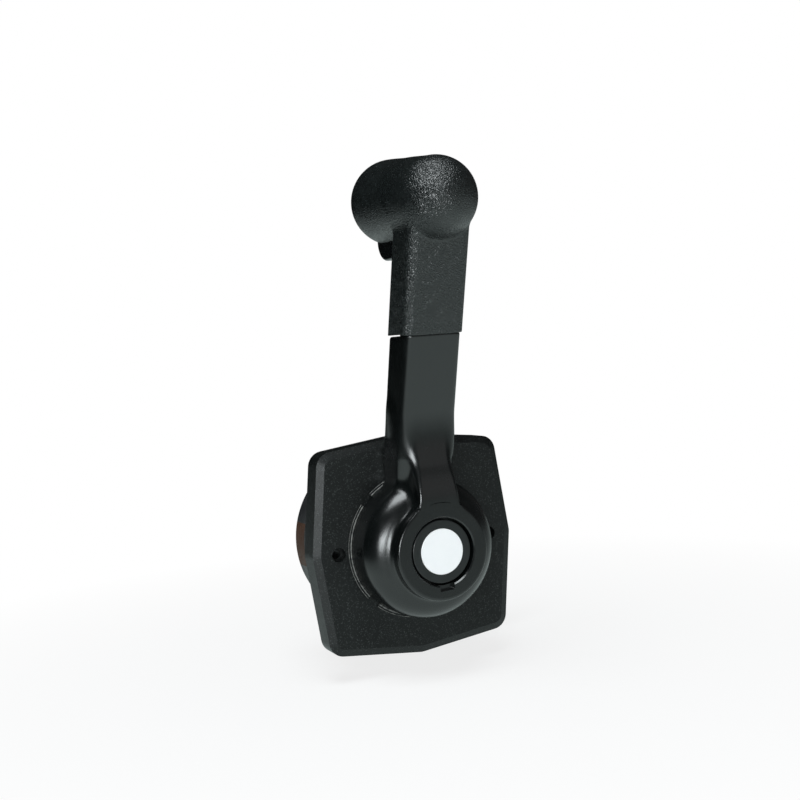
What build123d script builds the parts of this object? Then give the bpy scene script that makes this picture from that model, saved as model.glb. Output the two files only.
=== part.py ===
"""Side-mount throttle and shift control lever for a boat, modelled as it is put together.

Millimetres.  X runs along the panel (bow to stern), +Y runs into the panel, +Z is up.
The origin is on the hub axis, in the plane where the cover plate rests on the panel.
"""

import os
from math import acos, cos, degrees, pi, radians, sin, sqrt, tan

from build123d import *

# ---------------------------------------------------------------- driving dimensions

RUNNING = 0.05            # radial clearance of a shaft in its bush
SEAT = 0.02               # radial clearance of a part pushed onto its shaft
GAP = 0.3                 # clearance between bodies that pass each other

# cover plate
PLATE_HALF_WIDTH = 62.5   # to the middle of the left and right sides
PLATE_HALF_HEIGHT = 63.5  # to the middle of the top and bottom sides
PLATE_CORNER_X = 55.6     # where the bulged sides meet
PLATE_CORNER_Z = 57.0
PLATE_CORNER_R = 9.0
PLATE_BULGE_R = 12.0      # softens the shallow angle in the middle of each side
PLATE_DEPTH = 15.5
PLATE_BEVEL_IN = 4.2
PLATE_BEVEL_DEEP = 1.9
PLATE_WALL = 3.0
BOLT_HOLE_R = 2.75
BOLT_HEAD_R = 4.1
BOLT_HEAD_DEEP = 5.0
BOLT_BOSS_R = 6.5
COLLAR_R = 42.0
COLLAR_WALL = 1.5
COLLAR_HEIGHT = 0.8
COLLAR_ARC = 80.0         # degrees of each collar segment

# lever casting
DOME_R = 40.0
DOME_STRAIGHT_TO = 31.5   # how far out of the panel the dome's wall stays straight
DOME_SHOULDER_R = 12.0
DOME_WALL = 4.0
BOSS_R = 25.5
BOSS_FRONT = 49.5         # how far the flat boss stands out of the panel
BOSS_ROOT_R = 2.0
BOSS_EDGE_R = 1.2
NECK_HALF_WIDTH = 11.3
NECK_ROOT_R = 10.0
ARM_LEAN = 17.3           # degrees that the arm leans out of the panel
ARM_FOOT_Y = 10.3         # where the arm's centre line would meet the hub axis
ARM_WIDTH = 33.6
ARM_THICK = 24.5
ARM_CORNER_R = 4.4
SOCKET_R = 16.0
RECESS_R = 18.3
RECESS_FLOOR = 38.0
RECESS_MOUTH = 1.2        # chamfer round the mouth of the recess
NOTCH_WIDTH = 7.0         # slot for the tool that lifts the button's cap
NOTCH_R = 19.7
NOTCH_DEEP = 2.5

# grip
SLEEVE_WIDTH = 36.4
SLEEVE_BOTTOM_Z = 120.0
SLEEVE_CORNER_R = 5.4
SLEEVE_PROUD = 0.5        # how far the sleeve stands out from the arm's front and rear
TANG_WIDTH = 24.0
TANG_THICK = 16.0
TANG_CORNER_R = 2.0
KNOB_NEAR = (0.0, -73.0, 190.6)
KNOB_FAR = (-3.0, -25.5, 194.6)
KNOB_NEAR_R = 22.3
KNOB_FAR_R = 23.8
KNOB_WAIST_R = 22.4

# hub button
BUTTON_R = 17.6
BUTTON_FRONT = 49.9
BUTTON_SKIN = 3.0
BUTTON_SKIRT_BACK = 43.0
BUTTON_TRAVEL = 4.0
DISC_R = 12.7
DISC_FRONT = 50.4
DISC_THICK = 1.5
PUSH_ROD_R = 4.0
PIN_R = 1.5

# lock trigger
TRIGGER_WIDTH = 23.0
TRIGGER_NOSE_Y = 17.5
TRIGGER_TOP_Z = 174.5
TRIGGER_BOTTOM_Z = 162.0
TRIGGER_NOSE_R = 11.0
TRIGGER_TRAVEL = 5.0
LOCK_ROD_R = 2.0
STEM_RISE = 4.0           # from the trigger's foot to its stem
LOCK_SPRING_LONG = 6.0    # coil length with the trigger fully lifted
STEM_WIDTH = 6.0
STEM_HEIGHT = 6.0

# casing behind the panel
PANEL_MAX = 12.0          # thickest panel between the cover plate and the drum
SPIGOT_R = 43.5
CASE_WALL = 3.5
SHIFT_HUB_ROOM = 16.0     # from the shift shaft's axis to the drum's outer wall
DRUM_BACK = 45.0
NOSE_R = 17.0
NOSE_FRONT = 13.0
BACK_PLATE_THICK = 3.0
NUT_BLOCK_HALF_HEIGHT = 13.0
NUT_BLOCK_DEEP = 15.0
NUT_BLOCK_WALL = 10.5
NUT_FLATS = 8.1
NUT_DEEP = 4.5
NUT_EDGE = 4.4            # from a panel bolt's axis to the drum's outer wall

# shafts and gears
SHAFT_R = 8.0
SHIFT_SHAFT_R = 5.0
BUSH_WALL = 2.5
MODULE = 1.5
PINION_TEETH = 18
SECTOR_TEETH = 30         # teeth of the whole wheel that the sector is cut from
SECTOR_CUT = 10           # teeth on the sector
PRESSURE_ANGLE = 20.0
BACKLASH = 0.08
GEAR_FRONT = 16.5
GEAR_WIDTH = 9.0
ARM_PLATE = 5.0           # thickness of the cable arms
THROTTLE_REACH = 36.0
SHIFT_REACH = 26.0
CABLE_PIN_R = 3.0
CABLE_PIN_LONG = 9.0
RING_THICK = 1.2
ARM_HUB_WALL = 5.0
SHIFT_HUB_WALL = 4.5
ARM_WAIST_R = 6.0
KEY = 4.0

# detent, friction brake and neutral ring
DETENT_R = 24.0
DETENT_THICK = 4.0
BALL_R = 3.0
BRAKE_R = 22.0
BRAKE_WIDTH = 7.0
BRAKE_SHOE_THICK = 7.0
BRAKE_SCREW_R = 4.0
LOCK_RING_R = 28.0
LOCK_RING_BORE_R = 20.5
LOCK_RING_THICK = 6.0
COVER_SCREW_CIRCLE_R = 24.2
COVER_SCREW_TURN = 30.0   # degrees from +X to the first cover screw
COVER_HEAD_SINK = 2.4
COVER_HEAD_THICK = 2.2

# small screws and rivets
SCREW_R = 2.0
SCREW_HEAD_R = 3.5
RIVET_R = 2.0
RIVET_HEAD_R = 3.5
RIVET_HEAD_THICK = 1.2

# cable bracket
BRACKET_X = 86.0
BRACKET_THICK = 3.0
BRACKET_FOOT = 22.0
CABLE_R = 3.6
ANCHOR_LONG = 10.0
ANCHOR_WIDTH = 12.0
ANCHOR_SCREW_EDGE = 3.5    # from an anchor screw's axis to the block's end
ANCHOR_SCREW_R = 1.6
ANCHOR_SCREW_PITCH = 15.0

# ---------------------------------------------------------------- derived values

lean = radians(ARM_LEAN)
gear_distance = MODULE * (PINION_TEETH + SECTOR_TEETH) / 2
drum_r = gear_distance + SHIFT_HUB_ROOM
bolt_circle_r = drum_r - NUT_EDGE
plate_front = -PLATE_DEPTH
drum_front = PANEL_MAX
back_plate_rear = DRUM_BACK + BACK_PLATE_THICK
gear_rear = GEAR_FRONT + GEAR_WIDTH
pin_y = gear_rear - PIN_R
brake_front = pin_y + BUTTON_TRAVEL + PIN_R + 2 * GAP
brake_rear = brake_front + BRAKE_WIDTH
brake_mid = (brake_front + brake_rear) / 2
bush_flange = 1.2
arms_front = back_plate_rear + bush_flange + GAP
arms_rear = arms_front + ARM_PLATE
bush_r = SHAFT_R + BUSH_WALL
shift_bush_r = SHIFT_SHAFT_R + BUSH_WALL
case_floor = CASE_WALL
detent_front = case_floor + 2.0
detent_rear = detent_front + DETENT_THICK
shaft_front = -(RECESS_FLOOR + 3.0)
shaft_rear = arms_rear + RING_THICK + 1.5
ring_groove = 0.8
dome_rear = plate_front - 0.4
arm_rear_limit = plate_front - COLLAR_HEIGHT - 0.4
lock_ring_front = plate_front - LOCK_RING_THICK
rod_foot_z = LOCK_RING_R + 0.5


brake_boss_top = drum_r + 1.0
brake_boss_foot = brake_boss_top - 13.0
back_screw_r = drum_r - CASE_WALL - 3.5
back_screw_long = 12.0


window_outer_r = drum_r - CASE_WALL - 8
window_inner_r = bush_r + 6
tab_mid_z = -10.0
tab_height = 72.0
rivet_x = BRACKET_X - BRACKET_FOOT + 6
rivet_spots = [(rivet_x, tab_mid_z + step * tab_height / 3) for step in (-1, 0, 1)]
throttle_cable_z = THROTTLE_REACH
shift_cable_z = -gear_distance - SHIFT_REACH
anchor_height = ANCHOR_SCREW_PITCH + 2 * ANCHOR_SCREW_EDGE
anchor_y = arms_rear + 1 + CABLE_PIN_LONG / 2
bracket_rear = anchor_y + ANCHOR_WIDTH / 2 + 1
anchor_screw_spots = [
    (anchor_y, z + side * ANCHOR_SCREW_PITCH / 2)
    for z in (throttle_cable_z, shift_cable_z) for side in (-1, 1)]
key_seats = [
    (-RECESS_FLOOR + 4, -RECESS_FLOOR + 18), (detent_front, detent_rear),
    (brake_front, brake_rear), (arms_front, arms_rear)]


def facing(y):
    """The plane at depth y that faces out of the panel; its own x and y are X and Z."""
    return Plane.XZ.offset(-y)


def arm_plane(along):
    """A plane across the arm, at a distance along its centre line from the hub axis."""
    centre = (0, -ARM_FOOT_Y - along * sin(lean), along * cos(lean))
    return Plane(origin=centre, x_dir=(1, 0, 0), z_dir=(0, -sin(lean), cos(lean)))


def along_at(z):
    """Distance along the arm's centre line at a height z."""
    return z / cos(lean)


def barrel(y0, y1, radius, bore=0, x=0, z=0):
    """A round boss, pin or tube from depth y0 to y1."""
    with BuildPart() as tube:
        with BuildSketch(facing(y1)):
            with Locations((x, z)):
                Circle(radius)
                if bore:
                    Circle(bore, mode=Mode.SUBTRACT)
        extrude(amount=y1 - y0)
    return tube.part


def slab(y0, y1, width, height, x=0, z=0):
    """A rectangular block from depth y0 to y1, centred at x and z."""
    with BuildPart() as block:
        with BuildSketch(facing(y1)):
            with Locations((x, z)):
                Rectangle(width, height)
        extrude(amount=y1 - y0)
    return block.part


def screw(y_head, y_tip, radius, head_r, head_thick, x=0, z=0):
    """A screw along Y: its head lies in front of y_head and its shank reaches y_tip."""
    with BuildPart() as body:
        with BuildSketch(facing(y_head)):
            with Locations((x, z)):
                Circle(head_r)
        extrude(amount=head_thick)
        fillet(body.edges().group_by(Axis.Y)[0], head_thick / 4)
        with BuildSketch(facing(y_head)):
            with Locations((x, z)):
                Circle(radius)
        extrude(amount=y_head - y_tip)
        with BuildSketch(facing(y_head - head_thick)):
            with Locations((x, z)):
                RegularPolygon(head_r / 2, 6)
        extrude(amount=-head_thick / 2, mode=Mode.SUBTRACT)
    return body.part


def rear_screw(y_head, y_tip, radius, head_r, head_thick, x=0, z=0):
    """The same screw put in from behind: its head lies behind y_head."""
    body = screw(-y_head, -y_tip, radius, head_r, head_thick, x=x, z=z)
    return mirror(body, about=Plane.XZ, mode=Mode.PRIVATE)


def retaining_ring(y0, shaft_r):
    """A split ring that snaps into the groove of a shaft, its front face at y0."""
    with BuildPart() as ring:
        with BuildSketch(facing(y0 + RING_THICK)):
            Circle(shaft_r + 2.6)
            Circle(shaft_r - ring_groove, mode=Mode.SUBTRACT)
            with Locations((0, shaft_r + 1)):
                Rectangle(shaft_r * 0.8, 2 * shaft_r, mode=Mode.SUBTRACT)
        extrude(amount=RING_THICK)
    return ring.part


def coil(plane, long, mean_r, wire_r, turns):
    """A compression spring that stands on a plane and is as long as its seat allows."""
    height = long - 2 * wire_r
    with BuildPart() as spring:
        with BuildLine() as wire:
            Helix(pitch=height / turns, height=height, radius=mean_r,
                  center=plane.offset(wire_r).origin, direction=plane.z_dir)
        with BuildSketch(Plane(origin=wire.line @ 0, z_dir=wire.line % 0)):
            Circle(wire_r)
        sweep(path=wire.line, is_frenet=True)
    return spring.part


def finish(piece, label):
    """Names a finished piece and writes it to its own STEP file."""
    piece.part.label = label
    export_step(piece.part, f"parts/{label}.step")


os.makedirs("parts", exist_ok=True)

# ---------------------------------------------------------------- cover plate


def plate_outline(inset):
    """The bulged eight-sided outline, drawn in by an inset."""
    with BuildSketch() as outline:
        with BuildLine():
            Polyline(
                (0, PLATE_HALF_HEIGHT), (PLATE_CORNER_X, PLATE_CORNER_Z),
                (PLATE_HALF_WIDTH, 0), (PLATE_CORNER_X, -PLATE_CORNER_Z),
                (0, -PLATE_HALF_HEIGHT), (-PLATE_CORNER_X, -PLATE_CORNER_Z),
                (-PLATE_HALF_WIDTH, 0), (-PLATE_CORNER_X, PLATE_CORNER_Z),
                close=True)
        make_face()
        corners = [v for v in vertices() if min(abs(v.X), abs(v.Y)) > PLATE_CORNER_X / 2]
        fillet(corners, PLATE_CORNER_R)
        middles = [v for v in vertices() if min(abs(v.X), abs(v.Y)) < 1]
        fillet(middles, PLATE_BULGE_R)
        if inset:
            offset(amount=-inset, kind=Kind.INTERSECTION, mode=Mode.REPLACE)
    return outline.sketch


bolt_spots = [(bolt_circle_r, 0), (0, bolt_circle_r), (-bolt_circle_r, 0), (0, -bolt_circle_r)]
bolt_floor = plate_front + BOLT_HEAD_DEEP
plate_inner = plate_front + PLATE_WALL
with BuildPart() as cover_plate:
    # outer block with its bevelled front edge
    with BuildSketch(facing(0)):
        add(plate_outline(0))
    extrude(amount=PLATE_DEPTH - PLATE_BEVEL_DEEP)
    with BuildSketch(facing(plate_front + PLATE_BEVEL_DEEP)):
        add(plate_outline(0))
    with BuildSketch(facing(plate_front)):
        add(plate_outline(PLATE_BEVEL_IN))
    loft(ruled=True)
    # hollow underside
    with BuildSketch(facing(0)):
        add(plate_outline(PLATE_WALL))
    extrude(amount=PLATE_DEPTH - PLATE_WALL, mode=Mode.SUBTRACT)
    # wall that the casing seats against, bolt bosses and stiffening ribs
    add(barrel(plate_inner, 0, SPIGOT_R, SPIGOT_R - 4))
    for x, z in bolt_spots:
        add(barrel(plate_inner, 0, BOLT_BOSS_R, x=x, z=z))
    with BuildSketch(facing(0)):
        with PolarLocations(0, 4, start_angle=45):
            Rectangle(4 * PLATE_HALF_WIDTH, 2)
        Circle(SPIGOT_R - 2, mode=Mode.SUBTRACT)
        add(plate_outline(PLATE_WALL / 2), mode=Mode.INTERSECT)
    extrude(amount=-plate_inner)
    # screw ring round the bearing nose
    add(barrel(plate_inner, 0, COVER_SCREW_CIRCLE_R + 4.5))
    add(barrel(plate_front, 0, NOSE_R + GAP), mode=Mode.SUBTRACT)
    # bolt holes
    for x, z in bolt_spots:
        add(barrel(plate_front, 0, BOLT_HOLE_R, x=x, z=z), mode=Mode.SUBTRACT)
        add(barrel(plate_front, bolt_floor, BOLT_HEAD_R, x=x, z=z), mode=Mode.SUBTRACT)
    with BuildSketch(facing(0)):
        with PolarLocations(COVER_SCREW_CIRCLE_R, 3, start_angle=COVER_SCREW_TURN):
            Circle(SCREW_R + SEAT)
    extrude(amount=PLATE_DEPTH, mode=Mode.SUBTRACT)
    # raised collar in four segments round the dome
    with BuildSketch(facing(plate_front)):
        Circle(COLLAR_R)
        Circle(COLLAR_R - COLLAR_WALL, mode=Mode.SUBTRACT)
        with PolarLocations(0, 4, start_angle=45):
            with Locations((COLLAR_R, 0)):
                gap_width = 2 * COLLAR_R * sin(radians((90 - COLLAR_ARC) / 2))
                Rectangle(4 * COLLAR_WALL, gap_width, mode=Mode.SUBTRACT)
    extrude(amount=COLLAR_HEIGHT)
finish(cover_plate, "cover_plate")

# plugs for the two spare bolt holes, above and below the hub
with BuildPart() as hole_plugs:
    for z in (bolt_circle_r, -bolt_circle_r):
        add(barrel(plate_front, bolt_floor, BOLT_HEAD_R - SEAT, z=z))
        add(barrel(bolt_floor, -2, BOLT_HOLE_R - SEAT, z=z))
finish(hole_plugs, "hole_plugs")

# ---------------------------------------------------------------- casing behind the panel

# angles of the three screws that join the two halves of the casing
case_screw_angles = (90, 210, 330)
case_screw_r = SPIGOT_R - CASE_WALL - 3.0
drum_floor = drum_front + CASE_WALL
detent_mid = (detent_front + detent_rear) / 2
detent_angle = radians(235)
# plane across the detent's bore; its normal points outwards from the hub axis
detent_plane = Plane(
    origin=(0, detent_mid, 0), x_dir=(0, 1, 0), z_dir=(cos(detent_angle), 0, sin(detent_angle)))
with BuildPart() as spigot_casing:
    # cup that fills the cut-out in the panel
    add(barrel(0, drum_front, SPIGOT_R, SPIGOT_R - CASE_WALL))
    add(barrel(0, case_floor, SPIGOT_R))
    # nose that carries the front bush
    add(barrel(-NOSE_FRONT, case_floor, NOSE_R))
    add(barrel(-NOSE_FRONT, case_floor, bush_r), mode=Mode.SUBTRACT)
    # bosses for the casing screws and the cover screws
    with BuildSketch(facing(drum_front)):
        for angle in case_screw_angles:
            with PolarLocations(case_screw_r, 1, start_angle=angle):
                Circle(4.5)
    extrude(amount=drum_front)
    with BuildSketch(facing(drum_front)):
        for angle in case_screw_angles:
            with PolarLocations(case_screw_r, 1, start_angle=angle):
                Circle(1.6 + SEAT)
    extrude(amount=drum_front - 2, mode=Mode.SUBTRACT)
    with BuildSketch(facing(case_floor)):
        with PolarLocations(COVER_SCREW_CIRCLE_R, 3, start_angle=COVER_SCREW_TURN):
            Circle(SCREW_R + SEAT)
    extrude(amount=case_floor, mode=Mode.SUBTRACT)
    # radial housing of the detent ball, low on the forward side
    with BuildSketch(detent_plane.offset(DETENT_R + 1.0)):
        Rectangle(2 * (drum_front - detent_mid), 4 * BALL_R)
    extrude(amount=SPIGOT_R - DETENT_R - 1.0 - CASE_WALL / 2)
    with BuildSketch(detent_plane):
        Circle(BALL_R + RUNNING)
    extrude(amount=SPIGOT_R, mode=Mode.SUBTRACT)
finish(spigot_casing, "spigot_casing")

with BuildPart() as drum_casing:
    # open drum with its flange against the panel
    add(barrel(drum_front, DRUM_BACK, drum_r))
    add(barrel(drum_floor, DRUM_BACK, drum_r - CASE_WALL), mode=Mode.SUBTRACT)
    add(barrel(drum_front, drum_floor, case_screw_r - 5.5), mode=Mode.SUBTRACT)
    # bolt bosses, and the windows of the nut blocks
    bolt_boss_rear = DRUM_BACK - NUT_BLOCK_DEEP
    for x in (-bolt_circle_r, bolt_circle_r):
        add(barrel(drum_front, bolt_boss_rear, BOLT_BOSS_R, x=x))
    add(barrel(drum_front, bolt_boss_rear, 2 * drum_r, drum_r), mode=Mode.SUBTRACT)
    for x in (-drum_r, drum_r):
        window = slab(bolt_boss_rear, DRUM_BACK, 2 * NUT_BLOCK_WALL, 2 * NUT_BLOCK_HALF_HEIGHT, x=x)
        add(window, mode=Mode.SUBTRACT)
    for x in (-bolt_circle_r, bolt_circle_r):
        add(barrel(drum_front, DRUM_BACK, BOLT_HOLE_R, x=x), mode=Mode.SUBTRACT)
    # holes for the casing screws
    with BuildSketch(facing(drum_floor)):
        for angle in case_screw_angles:
            with PolarLocations(case_screw_r, 1, start_angle=angle):
                Circle(1.6 + SEAT)
    extrude(amount=CASE_WALL, mode=Mode.SUBTRACT)
    # bearing boss of the shift shaft
    add(barrel(drum_front, GEAR_FRONT - GAP, shift_bush_r + 3.0, z=-gear_distance))
    add(barrel(drum_front, GEAR_FRONT, shift_bush_r, z=-gear_distance), mode=Mode.SUBTRACT)
    # posts for the back plate's screws
    with BuildSketch(facing(DRUM_BACK)):
        with PolarLocations(back_screw_r, 4, start_angle=45):
            Circle(4.5)
    extrude(amount=DRUM_BACK - drum_floor)
    with BuildSketch(facing(DRUM_BACK)):
        with PolarLocations(back_screw_r, 4, start_angle=45):
            Circle(SCREW_R + SEAT)
    extrude(amount=back_screw_long - BACK_PLATE_THICK + 1, mode=Mode.SUBTRACT)
    # boss of the friction screw, on top
    with BuildSketch(Plane.XY.offset(brake_boss_foot)):
        with Locations((0, brake_mid)):
            Circle(BRAKE_SCREW_R + 3.5)
    extrude(amount=brake_boss_top - brake_boss_foot)
    with BuildSketch(Plane.XY.offset(brake_boss_foot)):
        with Locations((0, brake_mid)):
            Circle(BRAKE_SCREW_R + SEAT)
    extrude(amount=brake_boss_top, mode=Mode.SUBTRACT)
finish(drum_casing, "drum_casing")

# phenolic blocks at the two sides of the drum that hold the nuts of the panel bolts
with BuildPart() as nut_blocks:
    with BuildSketch(facing(DRUM_BACK)):
        Circle(drum_r)
        Rectangle(2 * (drum_r - NUT_BLOCK_WALL + SEAT), 2 * drum_r, mode=Mode.SUBTRACT)
        Rectangle(2 * drum_r, 2 * (NUT_BLOCK_HALF_HEIGHT - SEAT), mode=Mode.INTERSECT)
    extrude(amount=NUT_BLOCK_DEEP - SEAT)
    with BuildSketch(facing(DRUM_BACK)):
        with Locations((-bolt_circle_r, 0), (bolt_circle_r, 0)):
            Circle(BOLT_HOLE_R)
    extrude(amount=NUT_BLOCK_DEEP, mode=Mode.SUBTRACT)
    # hexagon pockets of the nuts
    with BuildSketch(facing(DRUM_BACK)):
        with Locations((-bolt_circle_r, 0), (bolt_circle_r, 0)):
            RegularPolygon(NUT_FLATS / 2, 6, major_radius=False, rotation=30)
    extrude(amount=NUT_DEEP, mode=Mode.SUBTRACT)
finish(nut_blocks, "nut_blocks")

# screws that join the two halves of the casing
with BuildPart() as casing_screws:
    for angle in case_screw_angles:
        x = case_screw_r * cos(radians(angle))
        z = case_screw_r * sin(radians(angle))
        add(rear_screw(drum_floor, 2.5, 1.6, 3.0, 2.2, x=x, z=z))
finish(casing_screws, "casing_screws")

# ---------------------------------------------------------------- back plate and bushes

with BuildPart() as back_plate:
    add(barrel(DRUM_BACK, back_plate_rear, drum_r - 1.5))
    # tab that carries the cable bracket
    with BuildSketch(facing(back_plate_rear)):
        with Locations((BRACKET_X / 2, tab_mid_z)):
            Rectangle(BRACKET_X, tab_height)
        Circle(drum_r - 2, mode=Mode.SUBTRACT)
    extrude(amount=BACK_PLATE_THICK)
    fillet(back_plate.edges().filter_by(Axis.Y).group_by(Axis.X)[-1], 6)
    # bores for the two rear bushes
    add(barrel(DRUM_BACK, back_plate_rear, bush_r), mode=Mode.SUBTRACT)
    add(barrel(DRUM_BACK, back_plate_rear, shift_bush_r, z=-gear_distance), mode=Mode.SUBTRACT)
    # screw holes
    with BuildSketch(facing(back_plate_rear)):
        with PolarLocations(back_screw_r, 4, start_angle=45):
            Circle(SCREW_R + SEAT)
    extrude(amount=BACK_PLATE_THICK, mode=Mode.SUBTRACT)
    with BuildSketch(facing(back_plate_rear)):
        with Locations(*rivet_spots):
            Circle(RIVET_R + SEAT)
    extrude(amount=BACK_PLATE_THICK, mode=Mode.SUBTRACT)
    # openings that lighten the plate and show the gears and the brake
    with BuildSketch(facing(back_plate_rear)):
        for middle in (0, 90, 180):
            with BuildLine():
                outer = CenterArc((0, 0), window_outer_r, middle - 30, 60)
                inner = CenterArc((0, 0), window_inner_r, middle + 30, -60)
                Line(outer @ 1, inner @ 0)
                Line(inner @ 1, outer @ 0)
            make_face()
        fillet(vertices(), 3)
    extrude(amount=BACK_PLATE_THICK, mode=Mode.SUBTRACT)
    # clear way for the nuts of the panel bolts
    for x in (-bolt_circle_r, bolt_circle_r):
        add(barrel(DRUM_BACK, back_plate_rear, NUT_FLATS / sqrt(3) + GAP, x=x), mode=Mode.SUBTRACT)
finish(back_plate, "back_plate")

with BuildPart() as back_plate_screws:
    for angle in (45, 135, 225, 315):
        x = back_screw_r * cos(radians(angle))
        z = back_screw_r * sin(radians(angle))
        tip = back_plate_rear - back_screw_long
        add(rear_screw(back_plate_rear, tip, SCREW_R, SCREW_HEAD_R, bush_flange, x=x, z=z))
finish(back_plate_screws, "back_plate_screws")

# flanged bushes of the main shaft
with BuildPart() as front_bush:
    add(barrel(-NOSE_FRONT, case_floor, bush_r, SHAFT_R + RUNNING))
    add(barrel(-NOSE_FRONT - bush_flange, -NOSE_FRONT, bush_r + 3, SHAFT_R + RUNNING))
finish(front_bush, "front_bush")

with BuildPart() as rear_bush:
    add(barrel(DRUM_BACK - 1, back_plate_rear, bush_r, SHAFT_R + RUNNING))
    add(barrel(back_plate_rear, back_plate_rear + bush_flange, bush_r + 3, SHAFT_R + RUNNING))
finish(rear_bush, "rear_bush")

# bushes of the shift shaft, in the drum's floor and in the back plate
with BuildPart() as shift_bushes:
    down = -gear_distance
    bore = SHIFT_SHAFT_R + RUNNING
    add(barrel(drum_front, GEAR_FRONT - GAP, shift_bush_r, bore, z=down))
    add(barrel(DRUM_BACK, back_plate_rear, shift_bush_r, bore, z=down))
    add(barrel(back_plate_rear, back_plate_rear + bush_flange, shift_bush_r + 2, bore, z=down))
finish(shift_bushes, "shift_bushes")

# ---------------------------------------------------------------- neutral ring under the dome

with BuildPart() as neutral_ring:
    add(barrel(lock_ring_front, plate_front, LOCK_RING_R, LOCK_RING_BORE_R))
    with BuildSketch(facing(plate_front)):
        with Locations((0, LOCK_RING_R)):
            Rectangle(2 * LOCK_ROD_R + 1.5, LOCK_RING_THICK)
        with PolarLocations(COVER_SCREW_CIRCLE_R, 3, start_angle=COVER_SCREW_TURN):
            Circle(SCREW_R + SEAT)
    extrude(amount=LOCK_RING_THICK, mode=Mode.SUBTRACT)
    with BuildSketch(facing(lock_ring_front)):
        with PolarLocations(COVER_SCREW_CIRCLE_R, 3, start_angle=COVER_SCREW_TURN):
            Circle(SCREW_HEAD_R + 0.1)
    extrude(amount=-COVER_HEAD_SINK, mode=Mode.SUBTRACT)
finish(neutral_ring, "neutral_ring")

# screws through the neutral ring and the cover plate into the casing
with BuildPart() as cover_screws:
    for angle in (COVER_SCREW_TURN, COVER_SCREW_TURN + 120, COVER_SCREW_TURN + 240):
        x = COVER_SCREW_CIRCLE_R * cos(radians(angle))
        z = COVER_SCREW_CIRCLE_R * sin(radians(angle))
        add(screw(lock_ring_front + COVER_HEAD_SINK, case_floor, SCREW_R, SCREW_HEAD_R,
                  COVER_HEAD_THICK, x=x, z=z))
finish(cover_screws, "cover_screws")

# ---------------------------------------------------------------- lever casting

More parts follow.
